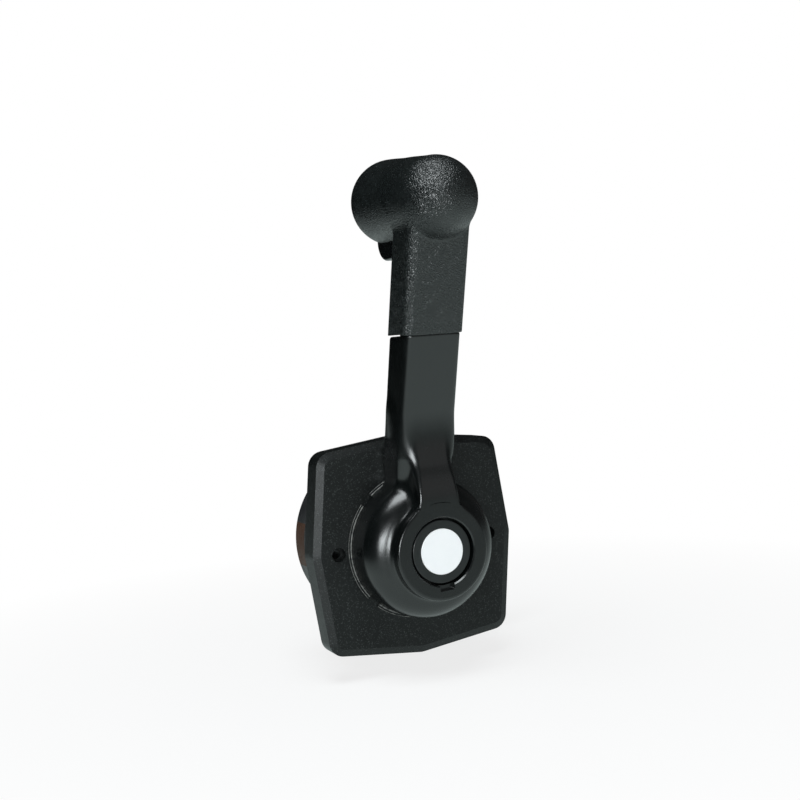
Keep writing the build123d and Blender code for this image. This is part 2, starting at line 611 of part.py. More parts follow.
sleeve_thick = ARM_THICK + 2 * SLEEVE_PROUD
neck_top = (BOSS_FRONT - ARM_FOOT_Y - ARM_THICK / 2 / cos(lean)) / tan(lean) + 8
tang_top = KNOB_NEAR[2] - 2
stem_foot = along_at(TRIGGER_BOTTOM_Z + STEM_RISE)
slot_foot = stem_foot - GAP
spring_long = TRIGGER_TRAVEL + LOCK_SPRING_LONG
slot_top = stem_foot + STEM_HEIGHT + spring_long
with BuildPart() as lever_arm:
    # dome, turned about the hub axis
    with BuildSketch(Plane.XY):
        with BuildLine():
            shoulder = CenterArc(
                (DOME_R - DOME_SHOULDER_R, -DOME_STRAIGHT_TO), DOME_SHOULDER_R, 0, -90)
            Polyline(shoulder @ 0, (DOME_R, dome_rear), (0, dome_rear),
                     (0, -DOME_STRAIGHT_TO - DOME_SHOULDER_R), shoulder @ 1)
        make_face()
    revolve(axis=Axis.Y)
    # leaning arm
    with BuildSketch(arm_plane(along_at(SOCKET_R))):
        RectangleRounded(ARM_WIDTH, ARM_THICK, ARM_CORNER_R)
    extrude(amount=along_at(SLEEVE_BOTTOM_Z))
    split(bisect_by=Plane.XY.offset(SLEEVE_BOTTOM_Z), keep=Keep.BOTTOM)
    # boss and the flat neck that runs from it into the arm
    with BuildSketch(facing(-BOSS_FRONT)) as neck:
        Circle(BOSS_R)
        with Locations((0, neck_top / 2)):
            Rectangle(2 * NECK_HALF_WIDTH, neck_top)
        roots = [v for v in vertices() if BOSS_R / 2 < v.Y < BOSS_R]
        fillet(roots, NECK_ROOT_R)
    extrude(amount=-(BOSS_FRONT - DOME_STRAIGHT_TO))
    roots = [e for e in lever_arm.edges().filter_by(GeomType.CIRCLE)
             if abs(e.radius - BOSS_R) < 0.01 and e.center().Y > -BOSS_FRONT + 1]
    fillet(roots, BOSS_ROOT_R)
    # hollow underside with the shaft's socket left standing
    cavity_front = -(DOME_STRAIGHT_TO - 0.5)
    cavity = barrel(cavity_front, 0, DOME_R - DOME_WALL, SOCKET_R)
    add(cavity, mode=Mode.SUBTRACT)
    add(barrel(-NOSE_FRONT - bush_flange - GAP, 0, SOCKET_R + 1), mode=Mode.SUBTRACT)
    # running gaps to the cover plate and its collar
    add(barrel(dome_rear, 0, DOME_R + 1, SOCKET_R), mode=Mode.SUBTRACT)
    add(barrel(arm_rear_limit, 0, 3 * DOME_R, DOME_R), mode=Mode.SUBTRACT)
    # tang inside the grip, with the slot of the trigger's stem
    with BuildSketch(arm_plane(along_at(SLEEVE_BOTTOM_Z) - 8)):
        RectangleRounded(TANG_WIDTH, TANG_THICK, TANG_CORNER_R)
    extrude(amount=along_at(tang_top - SLEEVE_BOTTOM_Z) + 8)
    with BuildSketch(arm_plane(slot_foot)):
        with Locations((0, TANG_THICK / 2)):
            Rectangle(STEM_WIDTH + 2 * GAP, TANG_THICK + 2 * (STEM_WIDTH / 2 + GAP))
    extrude(amount=slot_top - slot_foot, mode=Mode.SUBTRACT)
    # bore of the lock rod
    with BuildSketch(arm_plane(along_at(SOCKET_R + 3))):
        Circle(LOCK_ROD_R + GAP)
    extrude(amount=slot_top + 4 - along_at(SOCKET_R + 3), mode=Mode.SUBTRACT)
    # recess of the hub button, bore of the shaft and its keyway
    add(barrel(-BOSS_FRONT, -RECESS_FLOOR, RECESS_R), mode=Mode.SUBTRACT)
    front_edges = lever_arm.edges().group_by(Axis.Y)[0]
    mouth = front_edges.filter_by(lambda e: e.geom_type == GeomType.CIRCLE and e.radius < BOSS_R - 1)
    rim = [e for e in front_edges if e not in mouth]
    fillet(rim, BOSS_EDGE_R)
    with BuildSketch(Plane.XY):
        with BuildLine():
            Polyline((0, -BOSS_FRONT), (RECESS_R + RECESS_MOUTH, -BOSS_FRONT),
                     (RECESS_R, -BOSS_FRONT + RECESS_MOUTH), (0, -BOSS_FRONT + RECESS_MOUTH),
                     close=True)
        make_face()
    revolve(axis=Axis.Y, mode=Mode.SUBTRACT)
    notch_mid = (NOTCH_R + RECESS_R - 1) / 2
    notch = slab(-BOSS_FRONT, -BOSS_FRONT + NOTCH_DEEP, NOTCH_WIDTH, NOTCH_R - RECESS_R + 1,
                 x=notch_mid * sin(radians(3)), z=-notch_mid)
    add(notch, mode=Mode.SUBTRACT)
    add(barrel(-RECESS_FLOOR, 0, SHAFT_R + SEAT), mode=Mode.SUBTRACT)
    keyway = slab(key_seats[0][0], 0, KEY + 2 * SEAT, KEY + 2 * SEAT, z=SHAFT_R)
    add(keyway, mode=Mode.SUBTRACT)
finish(lever_arm, "lever_arm")

# ---------------------------------------------------------------- soft grip

knob_run = Vector(*KNOB_FAR) - Vector(*KNOB_NEAR)
knob_long = knob_run.length
knob_axis = Axis(KNOB_NEAR, knob_run)
knob_plane = Plane(origin=KNOB_NEAR, x_dir=knob_run, z_dir=knob_run.cross(Vector(0, 0, 1)))


def sleeve_rear_y(z):
    """Depth of the sleeve's rear face at a height z."""
    return -ARM_FOOT_Y - z * tan(lean) + sleeve_thick / 2 / cos(lean)


def trigger_side(play):
    """Side view of the trigger in Y and Z, grown by an all-round play."""
    nose = -TRIGGER_NOSE_Y
    low = TRIGGER_BOTTOM_Z
    high = TRIGGER_TOP_Z + 3
    with BuildSketch() as side:
        with BuildLine():
            round_nose = CenterArc(
                (nose - TRIGGER_NOSE_R, low + TRIGGER_NOSE_R), TRIGGER_NOSE_R, 0, -90)
            Polyline(round_nose @ 0, (nose, high), (sleeve_rear_y(high) + GAP, high),
                     (sleeve_rear_y(low) + GAP, low), round_nose @ 1)
        make_face()
        if play:
            offset(amount=play, kind=Kind.INTERSECTION, mode=Mode.REPLACE)
    return side.sketch


def trigger_block(play, lift):
    """The trigger's block, grown by a play, or all the room it takes as it lifts along the arm."""
    with BuildPart() as block:
        with BuildSketch(Plane.YZ):
            add(trigger_side(play))
            if lift:
                raised = Location((-lift * sin(lean), lift * cos(lean)))
                add(trigger_side(play).moved(raised))
                make_hull()
        extrude(amount=TRIGGER_WIDTH / 2 + play, both=True)
    return block.part


with BuildPart() as grip:
    # sleeve over the arm
    with BuildSketch(arm_plane(along_at(SLEEVE_BOTTOM_Z) - 10)):
        RectangleRounded(SLEEVE_WIDTH, sleeve_thick, SLEEVE_CORNER_R)
    extrude(amount=along_at(KNOB_NEAR[2] - SLEEVE_BOTTOM_Z) + 10)
    split(bisect_by=Plane.XY.offset(SLEEVE_BOTTOM_Z), keep=Keep.TOP)
    # knob, turned about its own axis
    with BuildSketch(knob_plane):
        with BuildLine():
            near = CenterArc((0, 0), KNOB_NEAR_R, 180, -90)
            far = CenterArc((knob_long, 0), KNOB_FAR_R, 90, -90)
            Spline(near @ 1, (knob_long / 2, KNOB_WAIST_R), far @ 0, tangents=[(1, 0), (1, 0)])
            Line(far @ 1, near @ 0)
        make_face()
    revolve(axis=knob_axis)
    # pocket of the tang, and room for the trigger and its stem
    with BuildSketch(arm_plane(along_at(SLEEVE_BOTTOM_Z) - 8)):
        RectangleRounded(TANG_WIDTH + 2 * SEAT, TANG_THICK + 2 * SEAT, TANG_CORNER_R + SEAT)
    extrude(amount=along_at(tang_top - SLEEVE_BOTTOM_Z) + 8 + SEAT, mode=Mode.SUBTRACT)
    add(trigger_block(GAP, TRIGGER_TRAVEL), mode=Mode.SUBTRACT)
    with BuildSketch(arm_plane(slot_foot)):
        with Locations((0, sleeve_thick / 2)):
            Rectangle(STEM_WIDTH + 2 * GAP, sleeve_thick)
    extrude(amount=STEM_HEIGHT + TRIGGER_TRAVEL + 2 * GAP, mode=Mode.SUBTRACT)
finish(grip, "grip")

# ---------------------------------------------------------------- lock trigger, its rod and spring

with BuildPart() as lock_trigger:
    add(trigger_block(0, 0))
    sides = lock_trigger.edges().filter_by(GeomType.CIRCLE)
    fillet(sides, 1.5)
    # stem that reaches through the sleeve to the rod
    with BuildSketch(arm_plane(stem_foot)):
        with Locations((0, sleeve_thick / 4)):
            Rectangle(STEM_WIDTH, sleeve_thick / 2 + 2)
        Circle(STEM_WIDTH / 2)
        Circle(LOCK_ROD_R + SEAT, mode=Mode.SUBTRACT)
    extrude(amount=STEM_HEIGHT)
finish(lock_trigger, "lock_trigger")

rod_start = along_at(rod_foot_z) + LOCK_ROD_R * tan(lean)
rod_end = stem_foot + STEM_HEIGHT + 2
with BuildPart() as lock_rod:
    with BuildSketch(arm_plane(rod_start)):
        Circle(LOCK_ROD_R)
    extrude(amount=rod_end - rod_start)
    chamfer(lock_rod.edges().group_by(Axis.Z)[0], 0.5)
finish(lock_rod, "lock_rod")

with BuildPart() as lock_spring:
    spring_seat = arm_plane(stem_foot + STEM_HEIGHT)
    add(coil(spring_seat, spring_long, LOCK_ROD_R + 0.7, 0.4, 6))
finish(lock_spring, "lock_spring")

# ---------------------------------------------------------------- hub button

button_front = -BUTTON_FRONT
skin_back = button_front + BUTTON_SKIN
skirt_back = -BUTTON_SKIRT_BACK
disc_back = -DISC_FRONT + DISC_THICK
rod_back = pin_y + 4
with BuildPart() as hub_button:
    add(barrel(button_front, skirt_back, BUTTON_R))
    add(barrel(skin_back, skirt_back, BUTTON_R - 1.7), mode=Mode.SUBTRACT)
    add(barrel(skin_back, skin_back + 1.4, PUSH_ROD_R + 3))
    add(barrel(disc_back, skin_back + 1.4, PUSH_ROD_R + SEAT), mode=Mode.SUBTRACT)
    add(barrel(button_front, disc_back, DISC_R + 0.1), mode=Mode.SUBTRACT)
    rim = hub_button.edges().filter_by(GeomType.CIRCLE).group_by(Axis.Y)[0]
    fillet(rim.sort_by(SortBy.RADIUS)[-1], 0.6)
finish(hub_button, "hub_button")

with BuildPart() as cap_disc:
    add(barrel(-DISC_FRONT, disc_back, DISC_R))
    fillet(cap_disc.edges().group_by(Axis.Y)[0], 0.4)
finish(cap_disc, "cap_disc")

with BuildPart() as push_rod:
    add(barrel(disc_back, rod_back, PUSH_ROD_R))
    with BuildSketch(Plane.YZ):
        with Locations((pin_y, 0)):
            Circle(PIN_R + SEAT)
    extrude(amount=PUSH_ROD_R, both=True, mode=Mode.SUBTRACT)
finish(push_rod, "push_rod")

# cross pin that locks the pinion to the shaft until the button is pushed in
with BuildPart() as clutch_pin:
    with BuildSketch(Plane.YZ):
        with Locations((pin_y, 0)):
            Circle(PIN_R)
    extrude(amount=SHAFT_R + 3, both=True)
finish(clutch_pin, "clutch_pin")

with BuildPart() as button_spring:
    add(coil(facing(-RECESS_FLOOR), -RECESS_FLOOR - skin_back, SHAFT_R + 5.4, 0.7, 3))
finish(button_spring, "button_spring")

# ---------------------------------------------------------------- main shaft and what turns with it

with BuildPart() as main_shaft:
    add(barrel(shaft_front, shaft_rear, SHAFT_R, PUSH_ROD_R + RUNNING))
    chamfer(main_shaft.edges().group_by(Axis.Y)[0].sort_by(SortBy.RADIUS)[-1], 0.6)
    # grooves of the two retaining rings
    groove = SHAFT_R - ring_groove
    add(barrel(-RECESS_FLOOR - RING_THICK, -RECESS_FLOOR, SHAFT_R + 1, groove), mode=Mode.SUBTRACT)
    add(barrel(arms_rear, arms_rear + RING_THICK, SHAFT_R + 1, groove), mode=Mode.SUBTRACT)
    # slot that the cross pin slides in
    add(slab(pin_y - PIN_R - 0.1, pin_y + BUTTON_TRAVEL + PIN_R + 0.1, 3 * SHAFT_R, 2 * PIN_R + 0.2),
        mode=Mode.SUBTRACT)
    # keyways
    for y0, y1 in key_seats:
        add(slab(y0, y1, KEY, KEY, z=SHAFT_R), mode=Mode.SUBTRACT)
finish(main_shaft, "main_shaft")

with BuildPart() as shaft_keys:
    for y0, y1 in key_seats:
        add(slab(y0, y1, KEY, KEY, z=SHAFT_R))
finish(shaft_keys, "shaft_keys")

with BuildPart() as shaft_rings:
    add(retaining_ring(-RECESS_FLOOR - RING_THICK, SHAFT_R))
    add(retaining_ring(arms_rear, SHAFT_R))
finish(shaft_rings, "shaft_rings")


def keyed_disc(y0, y1, radius):
    """A disc on the main shaft with its keyway."""
    with BuildPart() as disc:
        add(barrel(y0, y1, radius, SHAFT_R + SEAT))
        add(slab(y0, y1, KEY + 2 * SEAT, KEY + 2 * SEAT, z=SHAFT_R), mode=Mode.SUBTRACT)
    return disc.part


# detent disc with notches for neutral, ahead and astern
with BuildPart() as detent_disc:
    add(keyed_disc(detent_front, detent_rear, DETENT_R))
    add(keyed_disc(case_floor + GAP, detent_front, SHAFT_R + 4))
    with BuildSketch(facing(detent_rear)):
        for turn in (-30, 0, 30):
            with PolarLocations(DETENT_R + BALL_R - 1.2, 1, start_angle=degrees(detent_angle) + turn):
                Circle(BALL_R)
    extrude(amount=DETENT_THICK, mode=Mode.SUBTRACT)
finish(detent_disc, "detent_disc")

ball_out = DETENT_R + BALL_R + GAP
with BuildPart() as detent_ball:
    with Locations((ball_out * cos(detent_angle), detent_mid, ball_out * sin(detent_angle))):
        Sphere(BALL_R)
finish(detent_ball, "detent_ball")

# plug that closes the ball's bore, with the spring between them
with BuildPart() as detent_plug:
    with BuildSketch(detent_plane.offset(SPIGOT_R - 4)):
        Circle(BALL_R)
    extrude(amount=3.5)
finish(detent_plug, "detent_plug")

with BuildPart() as detent_spring:
    plug_in = SPIGOT_R - 4
    ball_back = ball_out + BALL_R
    add(coil(detent_plane.offset(ball_back), plug_in - ball_back, BALL_R - 0.9, 0.35, 4))
finish(detent_spring, "detent_spring")

# brake drum with its shoe, pressed on by the friction screw
with BuildPart() as brake_drum:
    add(keyed_disc(brake_front, brake_rear, BRAKE_R))
    add(keyed_disc(brake_rear, DRUM_BACK - 1 - GAP, SHAFT_R + 4))
finish(brake_drum, "brake_drum")

with BuildPart() as brake_shoe:
    with BuildSketch(facing(brake_rear)):
        Circle(BRAKE_R + BRAKE_SHOE_THICK)
        Circle(BRAKE_R + 0.1, mode=Mode.SUBTRACT)
        with Locations((0, BRAKE_R + BRAKE_SHOE_THICK)):
            Rectangle(2 * BRAKE_R * sin(radians(40)), 2 * BRAKE_SHOE_THICK + 4, mode=Mode.INTERSECT)
    extrude(amount=BRAKE_WIDTH)
finish(brake_shoe, "brake_shoe")

with BuildPart() as friction_screw:
    tip = BRAKE_R + BRAKE_SHOE_THICK
    with BuildSketch(Plane.XY.offset(tip)):
        with Locations((0, brake_mid)):
            Circle(BRAKE_SCREW_R)
    extrude(amount=brake_boss_top - tip + 4)
    with BuildSketch(Plane.XY.offset(brake_boss_top + 4)):
        with Locations((0, brake_mid)):
            Rectangle(2 * BRAKE_SCREW_R, 1.2)
    extrude(amount=-1.5, mode=Mode.SUBTRACT)
finish(friction_screw, "friction_screw")

with BuildPart() as friction_nut:
    with BuildSketch(Plane.XY.offset(brake_boss_top)):
        with Locations((0, brake_mid)):
            RegularPolygon(BRAKE_SCREW_R * 1.75, 6)
            Circle(BRAKE_SCREW_R + SEAT, mode=Mode.SUBTRACT)
    extrude(amount=3)
finish(friction_nut, "friction_nut")

# ---------------------------------------------------------------- shift gears


def tooth(teeth):
    """One involute tooth of a wheel, pointing up, thinned by the backlash."""
    pitch_r = MODULE * teeth / 2
    base_r = pitch_r * cos(radians(PRESSURE_ANGLE))
    root_r = pitch_r - 1.25 * MODULE
    tip_r = pitch_r + 0.9 * MODULE

    def half_angle(r):
        """Half the tooth's angle at a radius, by the involute of the base circle."""
        at_pitch = tan(radians(PRESSURE_ANGLE)) - radians(PRESSURE_ANGLE)
        pressure = acos(min(1, base_r / r))
        half_pitch = pi / 2 / teeth - BACKLASH / pitch_r
        return half_pitch + at_pitch - (tan(pressure) - pressure)

    start_r = max(base_r, root_r)
    radii = [start_r + (tip_r - start_r) * step / 3 for step in range(4)]
    left = [(-r * sin(half_angle(r)), r * cos(half_angle(r))) for r in radii]
    foot = half_angle(start_r)
    left.insert(0, ((1 - root_r) * sin(foot), (root_r - 1) * cos(foot)))
    right = [(-x, z) for x, z in reversed(left)]
    with BuildSketch() as face:
        with BuildLine():
            Polyline(*left, *right, close=True)
        make_face()
    return face.sketch


pinion_root_r = MODULE * (PINION_TEETH / 2 - 1.25)
sector_root_r = MODULE * (SECTOR_TEETH / 2 - 1.25)
sector_pitch = 360 / SECTOR_TEETH
with BuildPart() as drive_pinion:
    with BuildSketch(facing(gear_rear)):
        Circle(pinion_root_r)
        for step in range(PINION_TEETH):
            with Locations(Rotation(0, 0, 180 + 360 * step / PINION_TEETH)):
                add(tooth(PINION_TEETH))
        Circle(SHAFT_R + RUNNING, mode=Mode.SUBTRACT)
    extrude(amount=GEAR_WIDTH)
    # cross slot that the clutch pin drops into
    add(slab(pin_y - PIN_R - 0.1, gear_rear, 4 * pinion_root_r, 2 * PIN_R + 0.2), mode=Mode.SUBTRACT)
finish(drive_pinion, "drive_pinion")

with BuildPart() as shift_gear:
    sector_half = sector_pitch * SECTOR_CUT / 2
    sector_plane = Plane(
        origin=(0, gear_rear - 0.5, -gear_distance), x_dir=(1, 0, 0), z_dir=(0, -1, 0))
    with BuildSketch(sector_plane):
        with BuildLine():
            rim = CenterArc((0, 0), sector_root_r, 90 - sector_half, 2 * sector_half)
            Line(rim @ 1, (0, 0))
            Line((0, 0), rim @ 0)
        make_face()
        for step in range(SECTOR_CUT):
            with Locations(Rotation(0, 0, sector_pitch * (step + 0.5 - SECTOR_CUT // 2))):
                add(tooth(SECTOR_TEETH))
        Circle(SHIFT_SHAFT_R + 4)
        Circle(SHIFT_SHAFT_R + SEAT, mode=Mode.SUBTRACT)
    extrude(amount=GEAR_WIDTH - 1)
finish(shift_gear, "shift_gear")

with BuildPart() as shift_shaft:
    add(barrel(drum_front + GAP, shaft_rear, SHIFT_SHAFT_R, z=-gear_distance))
    groove = SHIFT_SHAFT_R - ring_groove
    add(barrel(arms_rear, arms_rear + RING_THICK, SHIFT_SHAFT_R + 1, groove, z=-gear_distance),
        mode=Mode.SUBTRACT)
finish(shift_shaft, "shift_shaft")

# sleeve that keeps the sector gear against its front bush
with BuildPart() as shift_spacer:
    add(barrel(gear_rear - 0.5, DRUM_BACK - GAP, SHIFT_SHAFT_R + 2, SHIFT_SHAFT_R + SEAT, z=-gear_distance))
finish(shift_spacer, "shift_spacer")

# ---------------------------------------------------------------- cable arms behind the back plate


def cable_arm(shaft_r, hub_r, reach, up, z0):
    """A flat arm with a hub on its shaft and an eye for the cable pin."""
    with BuildPart() as arm:
        with BuildSketch(facing(arms_rear)):
            with Locations((0, z0)):
                Circle(hub_r)
            with Locations((0, z0 + up * reach)):
                Circle(CABLE_PIN_R + 3.5)
            with Locations((0, z0 + up * reach / 2)):
                Rectangle(2 * CABLE_PIN_R + 4, reach)
            waist = [v for v in vertices() if hub_r / 2 < abs(v.Y - z0) < hub_r]
            fillet(waist, ARM_WAIST_R)
            with Locations((0, z0)):
                Circle(shaft_r + SEAT, mode=Mode.SUBTRACT)
            with Locations((0, z0 + up * reach)):
                Circle(CABLE_PIN_R + SEAT, mode=Mode.SUBTRACT)
        extrude(amount=ARM_PLATE)
    return arm.part


def cable_pin(z):
    """A headed pin that a cable eye drops over."""
    with BuildPart() as pin:
        add(barrel(arms_front, arms_rear + CABLE_PIN_LONG, CABLE_PIN_R, z=z))
        add(barrel(arms_rear, arms_rear + 1, CABLE_PIN_R + 1.5, z=z))
        chamfer(pin.edges().group_by(Axis.Y)[-1], 0.5)
    return pin.part


with BuildPart() as throttle_arm:
    add(cable_arm(SHAFT_R, SHAFT_R + ARM_HUB_WALL, THROTTLE_REACH, 1, 0))
    add(slab(arms_front, arms_rear, KEY + 2 * SEAT, KEY + 2 * SEAT, z=SHAFT_R), mode=Mode.SUBTRACT)
finish(throttle_arm, "throttle_arm")

with BuildPart() as throttle_pin:
    add(cable_pin(THROTTLE_REACH))
finish(throttle_pin, "throttle_pin")

with BuildPart() as shift_arm:
    add(cable_arm(SHIFT_SHAFT_R, SHIFT_SHAFT_R + SHIFT_HUB_WALL, SHIFT_REACH, -1, -gear_distance))
finish(shift_arm, "shift_arm")

with BuildPart() as shift_pin:
    add(cable_pin(-gear_distance - SHIFT_REACH))
finish(shift_pin, "shift_pin")

with BuildPart() as shift_ring:
    with Locations((0, 0, -gear_distance)):
        add(retaining_ring(arms_rear, SHIFT_SHAFT_R))
finish(shift_ring, "shift_ring")

# ---------------------------------------------------------------- cable bracket and anchors

with BuildPart() as cable_bracket:
    # foot on the tab, and the flange that carries the anchors
    foot = slab(back_plate_rear, back_plate_rear + BRACKET_THICK, BRACKET_FOOT, tab_height - 8,
                x=BRACKET_X - BRACKET_FOOT / 2, z=tab_mid_z)
    add(foot)
    flange_high = throttle_cable_z + anchor_height / 2
    flange_low = shift_cable_z - anchor_height / 2
    flange = slab(back_plate_rear, bracket_rear, BRACKET_THICK, flange_high - flange_low,
                  x=BRACKET_X - BRACKET_THICK / 2, z=(flange_high + flange_low) / 2)
    add(flange)
    with BuildSketch(Plane.YZ.offset(BRACKET_X)):
        with Locations((anchor_y, throttle_cable_z), (anchor_y, shift_cable_z)):
            Circle(CABLE_R + 1)
        with Locations(*anchor_screw_spots):
            Circle(ANCHOR_SCREW_R + SEAT)
    extrude(amount=-BRACKET_THICK, mode=Mode.SUBTRACT)
    with BuildSketch(facing(back_plate_rear + BRACKET_THICK)):
        with Locations(*rivet_spots):
            Circle(RIVET_R + SEAT)
    extrude(amount=BRACKET_THICK, mode=Mode.SUBTRACT)
finish(cable_bracket, "cable_bracket")

rivet_rear = back_plate_rear + BRACKET_THICK + RIVET_HEAD_THICK
with BuildPart() as bracket_rivets:
    for x, z in rivet_spots:
        add(barrel(DRUM_BACK - RIVET_HEAD_THICK, rivet_rear, RIVET_R, x=x, z=z))
        add(barrel(DRUM_BACK - RIVET_HEAD_THICK, DRUM_BACK, RIVET_HEAD_R, x=x, z=z))
        add(barrel(back_plate_rear + BRACKET_THICK, rivet_rear, RIVET_HEAD_R, x=x, z=z))
finish(bracket_rivets, "bracket_rivets")

# blocks that hold the ends of the two cable jackets
flange_front = BRACKET_X - BRACKET_THICK
with BuildPart() as cable_anchors:
    with BuildSketch(Plane.YZ.offset(flange_front)):
        with Locations((anchor_y, throttle_cable_z), (anchor_y, shift_cable_z)):
            RectangleRounded(ANCHOR_WIDTH, anchor_height, 2)
            Circle(CABLE_R, mode=Mode.SUBTRACT)
            with GridLocations(0, ANCHOR_SCREW_PITCH, 1, 2):
                Circle(ANCHOR_SCREW_R + SEAT, mode=Mode.SUBTRACT)
    extrude(amount=-ANCHOR_LONG)
finish(cable_anchors, "cable_anchors")

with BuildPart() as anchor_screws:
    with BuildSketch(Plane.YZ.offset(BRACKET_X)):
        with Locations(*anchor_screw_spots):
            Circle(ANCHOR_SCREW_R + 1.3)
    extrude(amount=1.8)
    fillet(anchor_screws.edges().group_by(Axis.X)[-1], 0.5)
    with BuildSketch(Plane.YZ.offset(BRACKET_X)):
        with Locations(*anchor_screw_spots):
            Circle(ANCHOR_SCREW_R)
    extrude(amount=-BRACKET_THICK - ANCHOR_LONG)
finish(anchor_screws, "anchor_screws")
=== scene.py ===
import bpy
import numpy as np
from mathutils import Matrix, Vector


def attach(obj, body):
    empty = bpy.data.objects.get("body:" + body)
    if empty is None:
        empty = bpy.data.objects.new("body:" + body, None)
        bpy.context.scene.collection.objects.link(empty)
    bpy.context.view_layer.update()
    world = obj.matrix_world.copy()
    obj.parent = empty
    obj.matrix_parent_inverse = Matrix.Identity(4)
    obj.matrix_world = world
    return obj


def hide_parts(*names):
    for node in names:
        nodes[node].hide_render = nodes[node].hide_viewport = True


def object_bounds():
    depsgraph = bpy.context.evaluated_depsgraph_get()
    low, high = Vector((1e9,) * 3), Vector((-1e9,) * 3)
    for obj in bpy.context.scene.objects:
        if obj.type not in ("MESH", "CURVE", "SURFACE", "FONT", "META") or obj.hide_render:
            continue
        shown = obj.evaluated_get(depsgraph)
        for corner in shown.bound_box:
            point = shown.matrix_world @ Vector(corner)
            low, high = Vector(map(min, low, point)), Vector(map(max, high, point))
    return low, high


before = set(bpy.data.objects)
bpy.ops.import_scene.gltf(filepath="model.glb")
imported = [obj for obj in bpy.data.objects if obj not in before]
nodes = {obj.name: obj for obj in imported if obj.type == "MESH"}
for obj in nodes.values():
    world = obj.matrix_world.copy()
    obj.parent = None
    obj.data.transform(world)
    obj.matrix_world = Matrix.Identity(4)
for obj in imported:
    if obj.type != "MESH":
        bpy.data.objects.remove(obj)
cad_box = [[float(c) for c in corner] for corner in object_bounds()]

# ------------------------------------------------------------------ camera
# A long lens a little left of the hub and level with the foot of the arm. The three unit
# vectors are the lens's right, up and forward directions, in metres and in the part's frame.

camera_place = (-0.27937, -0.63813, 0.11502)
camera_right = Vector((0.91043, -0.40724, -0.07260))
camera_up = Vector((0.08513, 0.01270, 0.99629))
camera_forward = Vector((0.40480, 0.91323, -0.04623))
lens = bpy.data.cameras.new("camera")
lens.lens, lens.sensor_width, lens.sensor_fit = 53.65, 36.0, "HORIZONTAL"
lens.clip_start = 0.01
camera = bpy.data.objects.new("camera", lens)
turn = Matrix((camera_right, camera_up, -camera_forward)).transposed()
camera.matrix_world = Matrix.Translation(camera_place) @ turn.to_4x4()
bpy.context.scene.collection.objects.link(camera)
bpy.context.scene.camera = camera
bpy.context.scene.view_settings.view_transform = "Standard"

# ------------------------------------------------------------------ drum casing and spigot
# Two aluminium die castings, screwed together, that hold the works behind the panel. The cast
# skin is slightly pebbled under a thin coat of black paint. The brake drum is finished alike.


def socket(tree, name, kind, way, value=None):
    """One named input or output of a shader group, with an input's starting value."""
    made = tree.interface.new_socket(name=name, in_out=way, socket_type=f"NodeSocket{kind}")
    if value is not None:
        made.default_value = value
    return made


def node(tree, kind, inputs=(), **settings):
    """A shader node with its settings, its plain values and its links, given as input: source."""
    made = tree.nodes.new(f"ShaderNode{kind}")
    for key, value in settings.items():
        setattr(made, key, value)
    for key, value in dict(inputs).items():
        if isinstance(value, bpy.types.NodeSocket):
            tree.links.new(value, made.inputs[key])
        else:
            made.inputs[key].default_value = value
    return made


def group(name, inputs, outputs):
    """An empty shader group with its inputs and outputs; also gives the sockets of its two ends."""
    tree = bpy.data.node_groups.new(name, "ShaderNodeTree")
    for key, kind, value in inputs:
        socket(tree, key, kind, "INPUT", value)
    for key, kind in outputs:
        socket(tree, key, kind, "OUTPUT")
    return tree, tree.nodes.new("NodeGroupInput").outputs, tree.nodes.new("NodeGroupOutput").inputs


def math(tree, operation, first, second):
    """One Math node on two values; gives its result."""
    return node(tree, "Math", {0: first, 1: second}, operation=operation).outputs[0]


def spread(tree, value, low, high, to_low=0.0, to_high=1.0):
    """The value, stretched from low..high to to_low..to_high and held inside it."""
    made = node(tree, "MapRange", {"Value": value, "From Min": low, "From Max": high,
                                   "To Min": to_low, "To Max": to_high})
    return made.outputs[0]


def noise(tree, place, scale, detail=2.0, roughness=0.5, distortion=0.0):
    """Fractal noise over a place; gives its grey value."""
    made = node(tree, "TexNoise", {"Vector": place, "Scale": scale, "Detail": detail,
                                   "Roughness": roughness, "Distortion": distortion})
    return made.outputs[0]


# handling marks: a slow mottle of the colour and of the gloss
mottle, given, out = group(
    "mottle",
    [("Dark", "Color", (0.02, 0.02, 0.02, 1)), ("Light", "Color", (0.03, 0.03, 0.03, 1)),
     ("Scale", "Float", 60.0), ("Polished", "Float", 0.3), ("Dull", "Float", 0.4)],
    [("Color", "Color"), ("Roughness", "Float")])
place = node(mottle, "TexCoord").outputs["Object"]
broad = noise(mottle, place, given["Scale"], 4.0, 0.6)
fine = noise(mottle, place, math(mottle, "MULTIPLY", given["Scale"], 7.3), 2.0)
both = spread(mottle, math(mottle, "ADD", math(mottle, "MULTIPLY", broad, 0.7),
                           math(mottle, "MULTIPLY", fine, 0.3)), 0.36, 0.64)
mixed = node(mottle, "Mix", {0: both, 6: given["Dark"], 7: given["Light"]}, data_type="RGBA")
mottle.links.new(mixed.outputs[2], out["Color"])
worn = node(mottle, "Mix", {0: both, 2: given["Polished"], 3: given["Dull"]}, data_type="FLOAT")
mottle.links.new(worn.outputs[0], out["Roughness"])

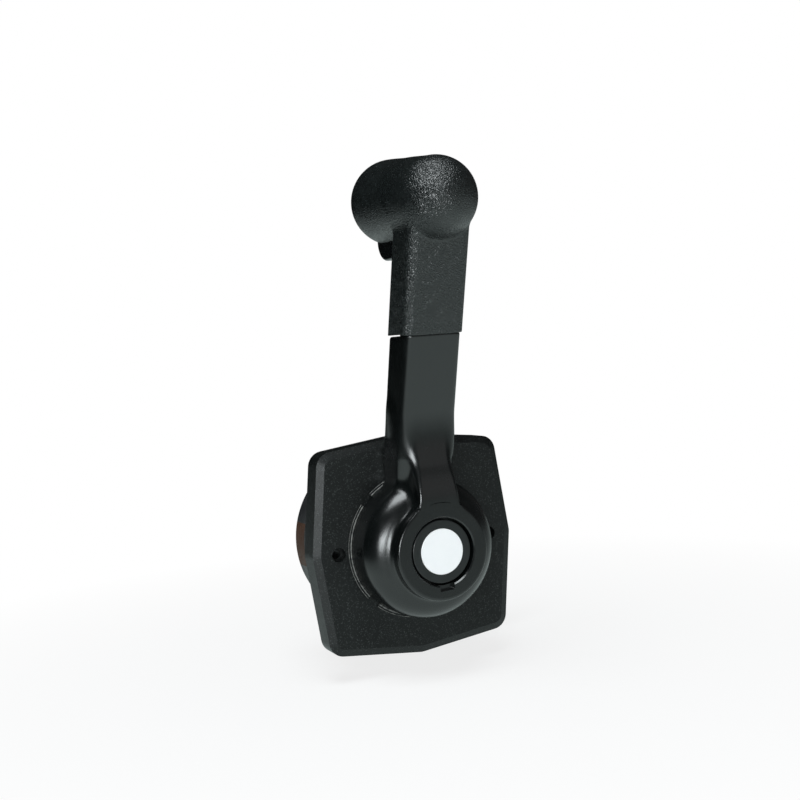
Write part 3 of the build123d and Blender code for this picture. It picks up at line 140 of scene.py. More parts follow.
# a skin of small rounded pebbles, as on sand blasted or spark eroded tools, with a mask of tiny
# specks for painted glints
pebble, given, out = group(
    "pebble", [("Scale", "Float", 900.0), ("Sharp", "Float", 0.5)],
    [("Height", "Float"), ("Glint", "Float")])
place = node(pebble, "TexCoord").outputs["Object"]
cells = node(pebble, "TexVoronoi", {"Vector": place, "Scale": given["Scale"], "Randomness": 1.0},
             feature="SMOOTH_F1")
rolling = noise(pebble, place, math(pebble, "MULTIPLY", given["Scale"], 0.45), 3.0, 0.6)
knobs = math(pebble, "SUBTRACT", 1.0, cells.outputs["Distance"])
height = node(pebble, "Mix", {0: given["Sharp"], 2: rolling, 3: knobs}, data_type="FLOAT")
pebble.links.new(height.outputs[0], out["Height"])
# tiny specks that a material mixes in as a lighter colour: painted glints
specks = noise(pebble, place, math(pebble, "MULTIPLY", given["Scale"], 0.8), 0.0)
pebble.links.new(spread(pebble, specks, 0.66, 0.74), out["Glint"])


def finish(name, colour, roughness=0.4, metallic=0.0, **plain):
    """A material with a Principled shader whose plain values are set on its own sockets."""
    material = bpy.data.materials.new(name)
    material.use_nodes = True
    material.diffuse_color = (*colour, 1)
    shader = material.node_tree.nodes["Principled BSDF"]
    shader.inputs["Base Color"].default_value = (*colour, 1)
    shader.inputs["Roughness"].default_value = roughness
    shader.inputs["Metallic"].default_value = metallic
    for key, value in plain.items():
        shader.inputs[key.replace("_", " ")].default_value = value
    return material, material.node_tree, shader


def place_group(tree, effect, **values):
    """A shader group in a material, with this material's values for its inputs."""
    made = tree.nodes.new("ShaderNodeGroup")
    made.node_tree = effect
    for key, value in values.items():
        made.inputs[key].default_value = value
    return made.outputs


def mottled(tree, shader, dark, light, scale, polished, dull):
    """Colour and gloss that change slowly between two values."""
    marks = place_group(tree, mottle, Dark=(*dark, 1), Light=(*light, 1), Scale=scale,
                        Polished=polished, Dull=dull)
    tree.links.new(marks["Color"], shader.inputs["Base Color"])
    tree.links.new(marks["Roughness"], shader.inputs["Roughness"])


def bump(tree, shader, height, strength, deep):
    """A bump of a real depth in metres on the shader's normal."""
    made = node(tree, "Bump", {"Height": height, "Strength": strength, "Distance": deep})
    tree.links.new(made.outputs["Normal"], shader.inputs["Normal"])


def dress(material, *names):
    """Gives a material to CAD nodes."""
    for name in names:
        mesh = nodes[name].data
        mesh.materials.clear()
        mesh.materials.append(material)


casting, tree, shader = finish("casting_paint", (0.030, 0.031, 0.033))
mottled(tree, shader, (0.016, 0.017, 0.018), (0.034, 0.035, 0.036), 55.0, 0.38, 0.58)
skin = place_group(tree, pebble, Scale=700.0, Sharp=0.3)
bump(tree, shader, skin["Height"], 0.35, 0.0004)
dress(casting, "drum_casing", "spigot_casing", "brake_drum")

# ------------------------------------------------------------------ nut blocks
# Two blocks sawn from brown phenolic cotton laminate, whose cut faces show thin cloth layers.
# The nut of a panel bolt is held in the hexagon pocket of each.

laminate, tree, shader = finish("phenolic_laminate", (0.075, 0.034, 0.020), 0.7,
                                Specular_IOR_Level=0.25)
marks = place_group(tree, mottle, Dark=(0.050, 0.026, 0.015, 1), Light=(0.074, 0.040, 0.024, 1),
                    Scale=140.0, Polished=0.5, Dull=0.72)
place = node(tree, "TexCoord").outputs["Object"]
layers = node(tree, "TexWave", {"Vector": place, "Scale": 210.0, "Distortion": 0.6,
                                "Detail": 1.0, "Detail Scale": 6.0},
              wave_type="BANDS", bands_direction="Y").outputs[1]
cloth = node(tree, "Mix", {0: layers, 6: marks["Color"], 7: (0.060, 0.026, 0.015, 1)},
             data_type="RGBA")
tree.links.new(cloth.outputs[2], shader.inputs["Base Color"])
tree.links.new(marks["Roughness"], shader.inputs["Roughness"])
bump(tree, shader, layers, 0.25, 0.0001)
dress(laminate, "nut_blocks")

# ------------------------------------------------------------------ shafts, springs and bushes
# The shafts, pins and rods are ground, the rings and keys are phosphated, and the bushes and
# clamps are turned from bronze and brass. Fine lines of the tool run round each of them.

turned, given, out = group(
    "turned", [("Scale", "Float", 900.0), ("Wander", "Float", 0.4)],
    [("Height", "Float"), ("Roughness", "Float")])
place = node(turned, "TexCoord").outputs["Object"]
stretched = node(turned, "Mapping", {"Vector": place, "Scale": (0.06, 1.0, 0.06)})
lines = noise(turned, stretched.outputs[0], given["Scale"], 3.0, 0.7, given["Wander"])
turned.links.new(lines, out["Height"])
turned.links.new(spread(turned, lines, 0.3, 0.7, 0.18, 0.36), out["Roughness"])


def steel(name, colour, scale, strength):
    """Bare or plated metal with tool lines of a fineness and a strength."""
    material, tree, shader = finish(name, colour, 0.3, 1.0)
    dark = tuple(0.86 * c for c in colour)
    marks = place_group(tree, mottle, Dark=(*dark, 1), Light=(*colour, 1), Scale=180.0)
    tree.links.new(marks["Color"], shader.inputs["Base Color"])
    lathe = place_group(tree, turned, Scale=scale)
    tree.links.new(lathe["Roughness"], shader.inputs["Roughness"])
    bump(tree, shader, lathe["Height"], strength, 0.00005)
    return material


dress(steel("ground_steel", (0.60, 0.60, 0.59), 1500.0, 0.3), "main_shaft", "shift_shaft",
      "throttle_pin", "shift_pin", "push_rod", "clutch_pin", "lock_rod", "detent_ball")
dress(steel("spring_wire", (0.46, 0.46, 0.47), 1200.0, 0.3),
      "detent_spring", "button_spring", "lock_spring")
dress(steel("phosphated_rings", (0.12, 0.12, 0.12), 1100.0, 0.4),
      "shaft_rings", "shift_ring", "shaft_keys")
dress(steel("bronze", (0.56, 0.34, 0.15), 900.0, 0.5), "front_bush", "rear_bush", "shift_bushes")
dress(steel("brass", (0.66, 0.47, 0.19), 900.0, 0.4), "cable_anchors", "detent_plug")

# ------------------------------------------------------------------ gears, arms and brake shoe
# Sintered steel with an oily grey skin: the two gears that turn the shift arm, the detent disc,
# and the two arms that pull the cables. The brake shoe is a moulded brown lining.

sinter, tree, shader = finish("sintered_steel", (0.33, 0.33, 0.34), 0.42, 0.9)
mottled(tree, shader, (0.24, 0.24, 0.25), (0.40, 0.40, 0.41), 90.0, 0.32, 0.5)
skin = place_group(tree, pebble, Scale=2200.0, Sharp=0.6)
bump(tree, shader, skin["Height"], 0.3, 0.0001)
dress(sinter, "drive_pinion", "shift_gear", "shift_spacer", "detent_disc", "throttle_arm",
      "shift_arm")

lining, tree, shader = finish("brake_lining", (0.085, 0.060, 0.045), 0.8)
mottled(tree, shader, (0.05, 0.036, 0.028), (0.13, 0.10, 0.08), 420.0, 0.7, 0.9)
bump(tree, shader, place_group(tree, pebble, Scale=1300.0, Sharp=0.5)["Height"], 0.6, 0.0002)
dress(lining, "brake_shoe")

# ------------------------------------------------------------------ back plate and cable bracket
# Zinc plated sheet steel, with the faint spangle and the haze of a passivated plating. The
# neutral ring, the screws and the rivets have the same plating.

zinc, tree, shader = finish("zinc_plating", (0.55, 0.55, 0.52), 0.34, 1.0)
mottled(tree, shader, (0.44, 0.44, 0.42), (0.60, 0.60, 0.57), 70.0, 0.26, 0.42)
place = node(tree, "TexCoord").outputs["Object"]
spangle = node(tree, "TexVoronoi", {"Vector": place, "Scale": 160.0}, feature="F1")
bump(tree, shader, spangle.outputs["Distance"], 0.12, 0.0001)
dress(zinc, "back_plate", "cable_bracket", "neutral_ring")
dress(steel("plated_screws", (0.58, 0.58, 0.55), 1000.0, 0.3), "back_plate_screws",
      "casing_screws", "cover_screws", "bracket_rivets", "anchor_screws", "friction_screw",
      "friction_nut")

# ------------------------------------------------------------------ cover plate
# An injection moulded plate in black glass filled nylon, with a fine spark grain whose tiny lighter
# specks are painted glints. Four raised arcs guide the dome, with pale beads on their edges that
# are partly rubbed pale by it and partly a painted highlight, and plugs close the two spare holes.

plate_grain, tree, shader = finish("grained_nylon", (0.004, 0.005, 0.005), 0.42,
                                   Specular_IOR_Level=0.33)
marks = place_group(tree, mottle, Dark=(0.0022, 0.0030, 0.0030, 1),
                    Light=(0.0042, 0.0054, 0.0052, 1), Scale=45.0, Polished=0.38, Dull=0.46)
skin = place_group(tree, pebble, Scale=2300.0, Sharp=0.5)
# the grain's specks lighten the base colour: painted glints of the spark grain
glint = node(tree, "Mix", {0: skin["Glint"], 6: marks["Color"], 7: (0.030, 0.034, 0.033, 1)},
             data_type="RGBA")
tree.links.new(glint.outputs[2], shader.inputs["Base Color"])
tree.links.new(marks["Roughness"], shader.inputs["Roughness"])
bump(tree, shader, skin["Height"], 0.5, 0.0002)
dress(plate_grain, "cover_plate", "hole_plugs")


def grid_shell(grid):
    """Points, quads and triangles of a closed tube from a grid of points, rows by columns. The
    columns close on themselves, and each end row closes in a fan round its middle point."""
    rows, columns = grid.shape[:2]
    row = np.arange(rows - 1)[:, None] * columns
    column = np.arange(columns)
    ahead = (column + 1) % columns
    quads = np.stack(np.broadcast_arrays(row + column, row + ahead, row + columns + ahead,
                                         row + columns + column), -1).reshape(-1, 4)
    first = rows * columns
    points = np.vstack([grid.reshape(-1, 3), grid[0].mean(0), grid[-1].mean(0)])
    top = (rows - 1) * columns
    foot = np.stack([np.full(columns, first), ahead, column], -1)
    head = np.stack([np.full(columns, first + 1), top + column, top + ahead], -1)
    return points, quads, np.vstack([foot, head])


def joined_mesh(name, *shells):
    """One mesh from one or more shells, whose points are counted on from shell to shell."""
    all_points, faces, count = [], [], 0
    for points, quads, fans in shells:
        all_points.append(points)
        faces += (quads + count).tolist() + (fans + count).tolist()
        count += len(points)
    mesh = bpy.data.meshes.new(name)
    mesh.from_pydata(np.vstack(all_points).tolist(), [], faces)
    return mesh


def shown(name, mesh, material, body, stands_for=()):
    """A finished piece: its mesh smooth shaded, in its material, riding on its body."""
    mesh.validate()
    mesh.polygons.foreach_set("use_smooth", np.ones(len(mesh.polygons), bool))
    mesh.materials.clear()
    mesh.materials.append(material)
    piece = bpy.data.objects.new(name, mesh)
    bpy.context.scene.collection.objects.link(piece)
    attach(piece, body)
    if stands_for:
        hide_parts(*stands_for)


def arc_bead(radius, depth, thick, first, last, count=90):
    """A round bead that follows an arc about the hub axis, between two angles in degrees."""
    angle = np.radians(np.linspace(first, last, count))[:, None]
    section = np.linspace(0, 2 * np.pi, 10, endpoint=False)
    reach = radius + thick * np.cos(section)
    return grid_shell(np.stack(np.broadcast_arrays(
        reach * np.cos(angle), depth + thick * np.sin(section), reach * np.sin(angle)), -1))


# pale beads on the arcs' edges: partly wear, partly a painted highlight along them
worn_and_lit_edge, tree, shader = finish("worn_and_lit_nylon", (0.09, 0.09, 0.085), 0.5)
marks = place_group(tree, mottle, Dark=(0.010, 0.012, 0.012, 1), Light=(0.24, 0.24, 0.225, 1),
                    Scale=420.0)
tree.links.new(marks["Color"], shader.inputs["Base Color"])
arc_front, arc_reach = -0.0163, 39.6
inner_edge_r, inner_edge_thick = 0.0404, 0.00038
outer_edge_r, outer_edge_thick = 0.0418, 0.00018
beads = [arc_bead(radius, arc_front, thick, middle - arc_reach, middle + arc_reach)
         for middle in (0, 90, 180, 270)
         for radius, thick in ((inner_edge_r, inner_edge_thick),
                               (outer_edge_r, outer_edge_thick))]
shown("collar_edges", joined_mesh("collar_edges", *beads), worn_and_lit_edge, "base")

# ------------------------------------------------------------------ lever casting
# The dome, neck and arm are one aluminium die casting under a thick satin black paint, which
# flows into soft edges and has a slight orange peel.

paint, tree, shader = finish("lever_paint", (0.003, 0.004, 0.004), 0.26, Specular_IOR_Level=0.62)
mottled(tree, shader, (0.0020, 0.0028, 0.0028), (0.0034, 0.0044, 0.0044), 35.0, 0.22, 0.28)
place = node(tree, "TexCoord").outputs["Object"]
peel = noise(tree, place, 800.0, 2.0, 0.5)
bump(tree, shader, peel, 0.2, 0.00012)


def turned_shell(radii, depths, columns=128):
    """A profile of radii and depths turned round the hub axis: x and z are the radius times the
    cosine and sine of the angle, and y is the depth."""
    angle = np.linspace(0, 2 * np.pi, columns, endpoint=False)
    radii, depths = np.asarray(radii, float), np.asarray(depths, float)
    grid = np.stack(np.broadcast_arrays(radii[:, None] * np.cos(angle), depths[:, None],
                                        radii[:, None] * np.sin(angle)), -1)
    return grid_shell(grid)


def rounded_rectangle(half_wide, half_thick, corner, count):
    """Points evenly round a rectangle with round corners, and their outward directions. The walk
    goes by turns along a straight side and round a quarter circle, from the right side's foot."""
    bend = np.pi / 2 * corner
    straight_x, straight_y = 2 * (half_wide - corner), 2 * (half_thick - corner)
    stops = np.cumsum([0, straight_y, bend, straight_x, bend, straight_y, bend, straight_x, bend])
    way = np.linspace(0, stops[-1], count, endpoint=False)
    part = np.clip(np.searchsorted(stops, way, side="right") - 1, 0, 7)
    along = way - stops[part]
    on_corner = part % 2 == 1
    angle = np.pi / 2 * (part // 2 + np.where(on_corner, along / bend, 0))
    side_x = np.array([1, 1, 1, -1, -1, -1, -1, 1])[part]
    side_y = np.array([-1, 1, 1, 1, 1, -1, -1, -1])[part]
    run = np.where(on_corner, 0, along)
    x = side_x * (half_wide - corner) + corner * np.cos(angle) - run * np.sin(angle)
    y = side_y * (half_thick - corner) + corner * np.sin(angle) + run * np.cos(angle)
    return x, y, np.cos(angle), np.sin(angle)


arm_lean = np.radians(17.3)
arm_foot = np.array([0.0, -0.0103, 0.0])
arm_up = np.array([0.0, -np.sin(arm_lean), np.cos(arm_lean)])
arm_back = np.array([0.0, np.cos(arm_lean), np.sin(arm_lean)])
arm_half_wide, arm_half_thick, arm_corner = 0.0168, 0.01225, 0.0044
arm_root_z, arm_top_z, arm_top_edge = 0.0335, 0.1196, 0.0012
tang_half_wide, tang_half_thick, tang_corner = 0.012, 0.008, 0.002
tang_root_z, tang_top_z = 0.112, 0.184
dome_r, dome_front, dome_rear, shoulder_r = 0.040, -0.0435, -0.0159, 0.014
cavity_r, cavity_floor = 0.036, -0.031
hub_tube_r, hub_tube_rear = 0.016, -0.0146
boss_r, boss_front, boss_edge, boss_root = 0.0272, -0.0518, 0.0013, -0.032
neck_half_wide, neck_corner, neck_top, neck_rear = 0.0118, 0.003, 0.080, -0.030
neck_slope, neck_bend_foot, neck_bend_high = 0.38, 0.0274, 0.016
fade_foot, fade_high, faded_edge = 0.030, 0.022, 0.0030

# how softly two forms run into each other
arm_to_dome, boss_to_dome, neck_to_arm, neck_to_boss = 0.005, 0.0035, 0.0085, 0.006


def leaning_grid(x, y, levels):
    """Level cuts through a prism that leans with the arm: a point goes across by x and y, then
    along the arm until it reaches its level."""
    climb = (levels - y * arm_back[2]) / arm_up[2]
    x, y, climb = np.broadcast_arrays(x, y, climb)
    return (arm_foot + x[..., None] * np.array([1.0, 0, 0]) + y[..., None] * arm_back
            + climb[..., None] * arm_up)


def soft_lesser(first, second, soft):
    """The lesser of two distances, less a quarter of the softness times the square of how nearly
    they are equal: a hollow fillet where two forms meet."""
    near = np.maximum(soft - np.abs(first - second), 0) / soft
    return np.minimum(first, second) - near**2 * soft / 4


def corner_distance(first, second, edge):
    """Distance to a form bounded by two surfaces that meet in an edge of that radius."""
    first, second = first + edge, second + edge
    return (np.hypot(np.maximum(first, 0), np.maximum(second, 0))
            + np.minimum(np.maximum(first, second), 0) - edge)


def prism_distance(points, half_wide, half_thick, corner):
    """Distance to an endless prism along the arm, with a rounded rectangle as its section."""
    across = points - arm_foot
    return corner_distance(np.abs(across[..., 0]) - half_wide,
                           np.abs(across @ arm_back) - half_thick, corner)


def front_depth(z):
    """Depth of the casting's flat front: upright over the boss, then bent back along the neck, by
    the square of the height within the bend and in proportion to it above."""
    bend = np.clip(z - neck_bend_foot, 0, neck_bend_high)
    past = np.maximum(z - neck_bend_foot - neck_bend_high, 0)
    return boss_front + neck_slope * (bend**2 / neck_bend_high / 2 + past)


def casting_distance(points):
    """Distance to the painted casting: the dome and the arm, and the flat boss with its neck,
    with soft hollows between them. The neck's edges and hollows soften as it fades into the arm."""
    x, y, z = points[..., 0], points[..., 1], points[..., 2]
    from_axis = np.hypot(x, z)
    dome = corner_distance(from_axis - dome_r, dome_front - y, shoulder_r)
    strip = corner_distance(np.abs(x) - neck_half_wide, np.maximum(z - neck_top, -z), neck_corner)
    outline = soft_lesser(from_axis - boss_r, strip, neck_to_boss)
    fading = np.clip((z - fade_foot) / fade_high, 0, 1)
    boss = corner_distance(outline, np.maximum(front_depth(z) - y, y - neck_rear),
                           boss_edge + faded_edge * fading)
    arm = corner_distance(prism_distance(points, arm_half_wide, arm_half_thick, arm_corner),
                          z - arm_top_z, arm_top_edge)
    return soft_lesser(boss, soft_lesser(arm, dome, arm_to_dome),
                       boss_to_dome + neck_to_arm * fading)


def settle(points, distance, free, steps):
    """Moves the free points onto the surface where the distance is nil, by Newton steps down its
    slope, taken from small differences."""
    small = 1e-5
    for _ in range(steps):
        here = distance(points)
        slope = np.stack([(distance(points + s) - here) / small for s in small * np.eye(3)], -1)
        size = np.maximum((slope**2).sum(-1), 0.2)
        points = points - np.where(free, here / size, 0)[..., None] * slope
    return points


def slope_of(distance, points):
    """Unit direction in which a distance grows."""
    small = 1e-5
    here = distance(points)
    slope = np.stack([distance(points + s) - here for s in small * np.eye(3)], -1)
    return slope / np.maximum(np.linalg.norm(slope, axis=-1, keepdims=True), 1e-12)


def evaluated(mesh, **modifier):
    """The mesh after one modifier."""
    holder = bpy.data.objects.new("holder", mesh)
    bpy.context.scene.collection.objects.link(holder)
    made = holder.modifiers.new("made", modifier.pop("kind"))
    for key, value in modifier.items():
        setattr(made, key, value)
    graph = bpy.context.evaluated_depsgraph_get()
    result = bpy.data.meshes.new_from_object(holder.evaluated_get(graph))
    bpy.data.objects.remove(holder)
    return result


def corners_of(mesh):
    """All points of a mesh as an array."""
    flat = np.empty(3 * len(mesh.vertices), np.float32)
    mesh.vertices.foreach_get("co", flat)
    return flat.reshape(-1, 3).astype(float)


# the raw casting: a hollow dome, the boss, the neck and the arm, fused by a fine voxel remesh
axis_r = 0.001
bow = np.linspace(0, np.pi / 2, 14)
shoulder_radii = dome_r - shoulder_r + shoulder_r * np.cos(bow)
shoulder_depths = dome_front + shoulder_r - shoulder_r * np.sin(bow)
dome_shell = turned_shell(
    [hub_tube_r, hub_tube_r, cavity_r, cavity_r, dome_r, *shoulder_radii, axis_r],
    [hub_tube_rear, cavity_floor, cavity_floor, dome_rear, dome_rear, *shoulder_depths, dome_front])
boss_shell = turned_shell([axis_r, boss_r, boss_r, axis_r],
                          [boss_root, boss_root, boss_front, boss_front])
neck_x, neck_z, _, _ = rounded_rectangle(neck_half_wide, neck_top / 2, neck_corner, 120)
neck_z = neck_z + neck_top / 2
neck_depths = np.stack([np.full(len(neck_z), neck_rear), front_depth(neck_z)])
neck_shell = grid_shell(np.stack(np.broadcast_arrays(neck_x, neck_depths, neck_z), -1))
arm_x, arm_y, _, _ = rounded_rectangle(arm_half_wide, arm_half_thick, arm_corner, 160)
arm_points = leaning_grid(arm_x, arm_y, np.linspace(arm_root_z, arm_top_z, 40)[:, None])
arm_points[..., 1] = np.minimum(arm_points[..., 1], dome_rear)
tang_x, tang_y, _, _ = rounded_rectangle(tang_half_wide, tang_half_thick, tang_corner, 80)
tang_points = leaning_grid(tang_x, tang_y, np.array([tang_root_z, tang_top_z])[:, None])
raw_casting = joined_mesh("raw_casting", dome_shell, boss_shell, neck_shell,
                          grid_shell(arm_points), grid_shell(tang_points))
fused = evaluated(raw_casting, kind="REMESH", mode="VOXEL", voxel_size=0.00069)

# its outer skin is then drawn onto the smooth form, while the cavity and the rear rim stay
skin_reach, skin_rear, least_agreement = 0.0065, -0.0166, 0.2
flow = corners_of(fused)
facing = np.empty(3 * len(fused.vertices), np.float32)
fused.vertices.foreach_get("normal", facing)
agreement = (facing.reshape(-1, 3) * slope_of(casting_distance, flow)).sum(-1)
outer = ((agreement > least_agreement) & (np.abs(casting_distance(flow)) < skin_reach)
         & (flow[:, 1] < skin_rear))
flow = settle(flow, casting_distance, outer, 14)
fused.vertices.foreach_set("co", flow.astype(np.float32).ravel())
fused.update()

# the button's recess with its chamfered mouth, and the notch of the cap tool
recess_r, recess_mouth_r, recess_floor, recess_chamfer_foot = 0.0189, 0.0204, -0.038, -0.0511
tool_axis_r, tool_front = 0.0005, -0.0526
recess_shell = turned_shell(
    [tool_axis_r, recess_r, recess_r, recess_mouth_r, tool_axis_r],
    [recess_floor, recess_floor, recess_chamfer_foot, tool_front, tool_front], 256)
notch_half_wide, notch_half_high, notch_corner = 0.0045, 0.0020, 0.0004
notch_r, notch_turn, notch_depths = 0.0196, np.radians(3.0), np.array([-0.0485, -0.0535])
notch_x, notch_z, _, _ = rounded_rectangle(notch_half_wide, notch_half_high, notch_corner, 64)
notch_across = notch_x * np.cos(notch_turn) + notch_r * np.sin(notch_turn)
notch_up = -notch_r * np.cos(notch_turn) + notch_z + notch_x * np.sin(notch_turn)
notch_shell = grid_shell(np.stack(np.broadcast_arrays(notch_across, notch_depths[:, None],
                                                      notch_up), -1))
for name, shell in (("recess_tool", recess_shell), ("notch_tool", notch_shell)):
    tool = bpy.data.objects.new(name, joined_mesh(name, shell))
    bpy.context.scene.collection.objects.link(tool)
    fused = evaluated(fused, kind="BOOLEAN", operation="DIFFERENCE", solver="EXACT", object=tool)
    bpy.data.objects.remove(tool)
shown("lever_casting", fused, paint, "lever", ["lever_arm"])
fused.set_sharp_from_angle(angle=np.radians(28))

# ------------------------------------------------------------------ grip sleeve
# The lower half of the soft grip: a charcoal vinyl sleeve pushed down over the arm's tang. Its
# lower edge is rounded and carries a little flash from the mould.

sleeve_half_wide, sleeve_half_thick, sleeve_corner = 0.0182, 0.01275, 0.0054
sleeve_foot, sleeve_long, sleeve_end, sleeve_end_edge = 0.1203, 0.0660, 0.187, 0.002
lip_round, flash_high, flash_reach = 0.0017, 0.00007, 0.0009
grip_crease, grip_steps = 0.0020, 8

# the knob's lobes are needed here already, because the sleeve runs into them
knob_near, knob_far = np.array([0.0, -0.073, 0.1906]), np.array([-0.003, -0.0255, 0.1946])
knob_near_r, knob_far_r, knob_waist_r = 0.0223, 0.0238, 0.0230
knob_long = np.linalg.norm(knob_far - knob_near)
knob_axis = (knob_far - knob_near) / knob_long


def knob_radius(along):
    """Radius of the knob along its axis: it eases from one lobe to the waist and out again."""
    half = np.clip(2 * along / knob_long, 0, 2)
    first, second = np.clip(half, 0, 1), np.clip(half - 1, 0, 1)
    ease_first, ease_second = first**2 * (3 - 2 * first), second**2 * (3 - 2 * second)
    return (knob_near_r + (knob_waist_r - knob_near_r) * ease_first
            + (knob_far_r - knob_waist_r) * ease_second)


def knob_distance(points):
    """How far points stand out from the knob: the distance to its axis, held between the middles
    of its two lobes, less the knob's radius there."""
    along = np.clip((points - knob_near) @ knob_axis, 0, knob_long)
    on_axis = knob_near + along[..., None] * knob_axis
    return np.linalg.norm(points - on_axis, axis=-1) - knob_radius(along)


def sleeve_distance(points):
    """How far points stand out from the sleeve, which ends inside the knob."""
    walls = prism_distance(points, sleeve_half_wide, sleeve_half_thick, sleeve_corner)
    return corner_distance(walls, points[..., 2] - sleeve_end, sleeve_end_edge)


def grip_distance(points):
    """Distance to the knob and sleeve in one, with a soft crease where they meet."""
    return soft_lesser(knob_distance(points), sleeve_distance(points), grip_crease)


buried = -0.0002
lip_steps = np.linspace(0, np.pi / 2, 8)
wall_rows = np.concatenate([[0.0], lip_round * (1 - np.cos(lip_steps)),
                            np.linspace(1.2 * lip_round, sleeve_long, 150)])
inset = np.concatenate([[2.0], 1 - np.sin(lip_steps), np.zeros(150)]) * lip_round
ring_x, ring_y, out_x, out_y = rounded_rectangle(sleeve_half_wide, sleeve_half_thick,
                                                 sleeve_corner, 260)
walk = np.linspace(0, 2 * np.pi, 260, endpoint=False)
flash = flash_high * (np.sin(9 * walk) + np.sin(23 * walk + 1.3) + 0.7 * np.sin(41 * walk + 0.4))
flash = np.maximum(flash, 0) * np.exp(-((wall_rows / flash_reach) ** 2))[:, None]
sleeve_grid = leaning_grid(ring_x - inset[:, None] * out_x, ring_y - inset[:, None] * out_y,
                           sleeve_foot + wall_rows[:, None] + flash)
sleeve_grid = settle(sleeve_grid, grip_distance, knob_distance(sleeve_grid) > buried, grip_steps)

# wrinkles of a leather grain: cells pushed about by a slow noise, with creases between them
leather, given, out = group(
    "leather", [("Scale", "Float", 620.0), ("Stretch", "Float", 0.0016)],
    [("Height", "Float"), ("Crease", "Float")])
place = node(leather, "TexCoord").outputs["Object"]
drift = node(leather, "TexNoise", {"Vector": place, "Scale": 170.0, "Detail": 2.0})
pushed = node(leather, "VectorMath", {0: drift.outputs["Color"], 1: (0.5, 0.5, 0.5)},
              operation="SUBTRACT")
push = node(leather, "VectorMath", {0: pushed.outputs[0], 3: given["Stretch"]}, operation="SCALE")
bent = node(leather, "VectorMath", {0: place, 1: push.outputs[0]}, operation="ADD").outputs[0]
cells = node(leather, "TexVoronoi", {"Vector": bent, "Scale": given["Scale"]},
             feature="DISTANCE_TO_EDGE").outputs["Distance"]
crease = spread(leather, cells, 0.0, 0.30)
small = noise(leather, bent, math(leather, "MULTIPLY", given["Scale"], 2.4), 2.0, 0.6)
relief = math(leather, "ADD", math(leather, "MULTIPLY", crease, 0.75),
              math(leather, "MULTIPLY", small, 0.4))
leather.links.new(relief, out["Height"])
leather.links.new(crease, out["Crease"])

vinyl, tree, shader = finish("grip_vinyl", (0.012, 0.015, 0.015), 0.35, Specular_IOR_Level=0.6)
marks = place_group(tree, mottle, Dark=(0.009, 0.012, 0.012, 1), Light=(0.014, 0.018, 0.018, 1),
                    Scale=40.0, Polished=0.25, Dull=0.33)
grain = place_group(tree, leather, Scale=800.0, Stretch=0.0026)
# the grain's creases are darkened in the base colour: painted shade in its hollows
deep = node(tree, "Mix", {0: grain["Crease"], 6: (0.004, 0.005, 0.005, 1), 7: marks["Color"]},
            data_type="RGBA")
tree.links.new(deep.outputs[2], shader.inputs["Base Color"])
tree.links.new(marks["Roughness"], shader.inputs["Roughness"])
bump(tree, shader, grain["Height"], 0.75, 0.00028)
shown("grip_sleeve", joined_mesh("grip_sleeve", grid_shell(sleeve_grid)), vinyl, "lever",
      ["grip"])

# ------------------------------------------------------------------ grip knob
# The hand knob is moulded in one with the sleeve. Its two lobes lie along an axis into the panel,
# eased into each other, and the mould's parting line runs round between them.

parting, parting_high, parting_wide = 0.0255, 0.00008, 0.0002
ridge_step, ridge_room = 0.00018, 0.0006
quarter = np.linspace(0, np.pi / 2, 56)[1:-1]
ridge_rows = parting + ridge_step * np.array([-2, -1, 0, 1, 2])
run = np.concatenate([np.linspace(0, parting - ridge_room, 36), ridge_rows,
                      np.linspace(parting + ridge_room, knob_long, 40)])
along = np.concatenate([-knob_near_r * np.cos(quarter), run,
                        knob_long + knob_far_r * np.sin(quarter)])
radius = np.concatenate([knob_near_r * np.sin(quarter), knob_radius(run),
                         knob_far_r * np.cos(quarter)])
radius = radius + parting_high * np.exp(-(((along - parting) / parting_wide) ** 2))
side = np.cross(knob_axis, [0.0, 0.0, 1.0])
side /= np.linalg.norm(side)
upward = np.cross(side, knob_axis)
around = np.linspace(0, 2 * np.pi, 200, endpoint=False)
ring = np.cos(around)[:, None] * side + np.sin(around)[:, None] * upward
knob_grid = (knob_near + along[:, None, None] * knob_axis
             + radius[:, None, None] * ring[None, :, :])
knob_grid = settle(knob_grid, grip_distance, sleeve_distance(knob_grid) > buried, grip_steps)
shown("grip_knob", joined_mesh("grip_knob", grid_shell(knob_grid)), vinyl, "lever")

# ------------------------------------------------------------------ lock trigger
# A gloss black moulded trigger under the far lobe, which the fingers lift to free the lever from
# neutral.

gloss, tree, shader = finish("trigger_gloss", (0.010, 0.011, 0.012), 0.14)
mottled(tree, shader, (0.003, 0.0035, 0.004), (0.005, 0.006, 0.006), 60.0, 0.10, 0.18)
dress(gloss, "lock_trigger")

# ------------------------------------------------------------------ hub button and cap disc
# A satin black cap that is pushed in to rev the engine in neutral. A plain white disc with a
# bare satin face is pressed into its middle.

satin, tree, shader = finish("button_satin", (0.015, 0.017, 0.017), 0.33)
mottled(tree, shader, (0.008, 0.0095, 0.0095), (0.011, 0.013, 0.013), 80.0, 0.28, 0.36)
place = node(tree, "TexCoord").outputs["Object"]
bump(tree, shader, noise(tree, place, 1600.0, 2.0), 0.08, 0.0001)
dress(satin, "hub_button")

white, tree, shader = finish("cap_white", (0.86, 0.87, 0.87), 0.3)
mottled(tree, shader, (0.87, 0.875, 0.875), (0.89, 0.89, 0.89), 50.0, 0.28, 0.34)
dress(white, "cap_disc")

# ------------------------------------------------------------------ floor, backdrop and lights
# A pale floor under the part and a white surround. Gloss sees them dimmer than the camera does:
# the floor fades on the left and towards level rays, and the surround has one soft card in front.

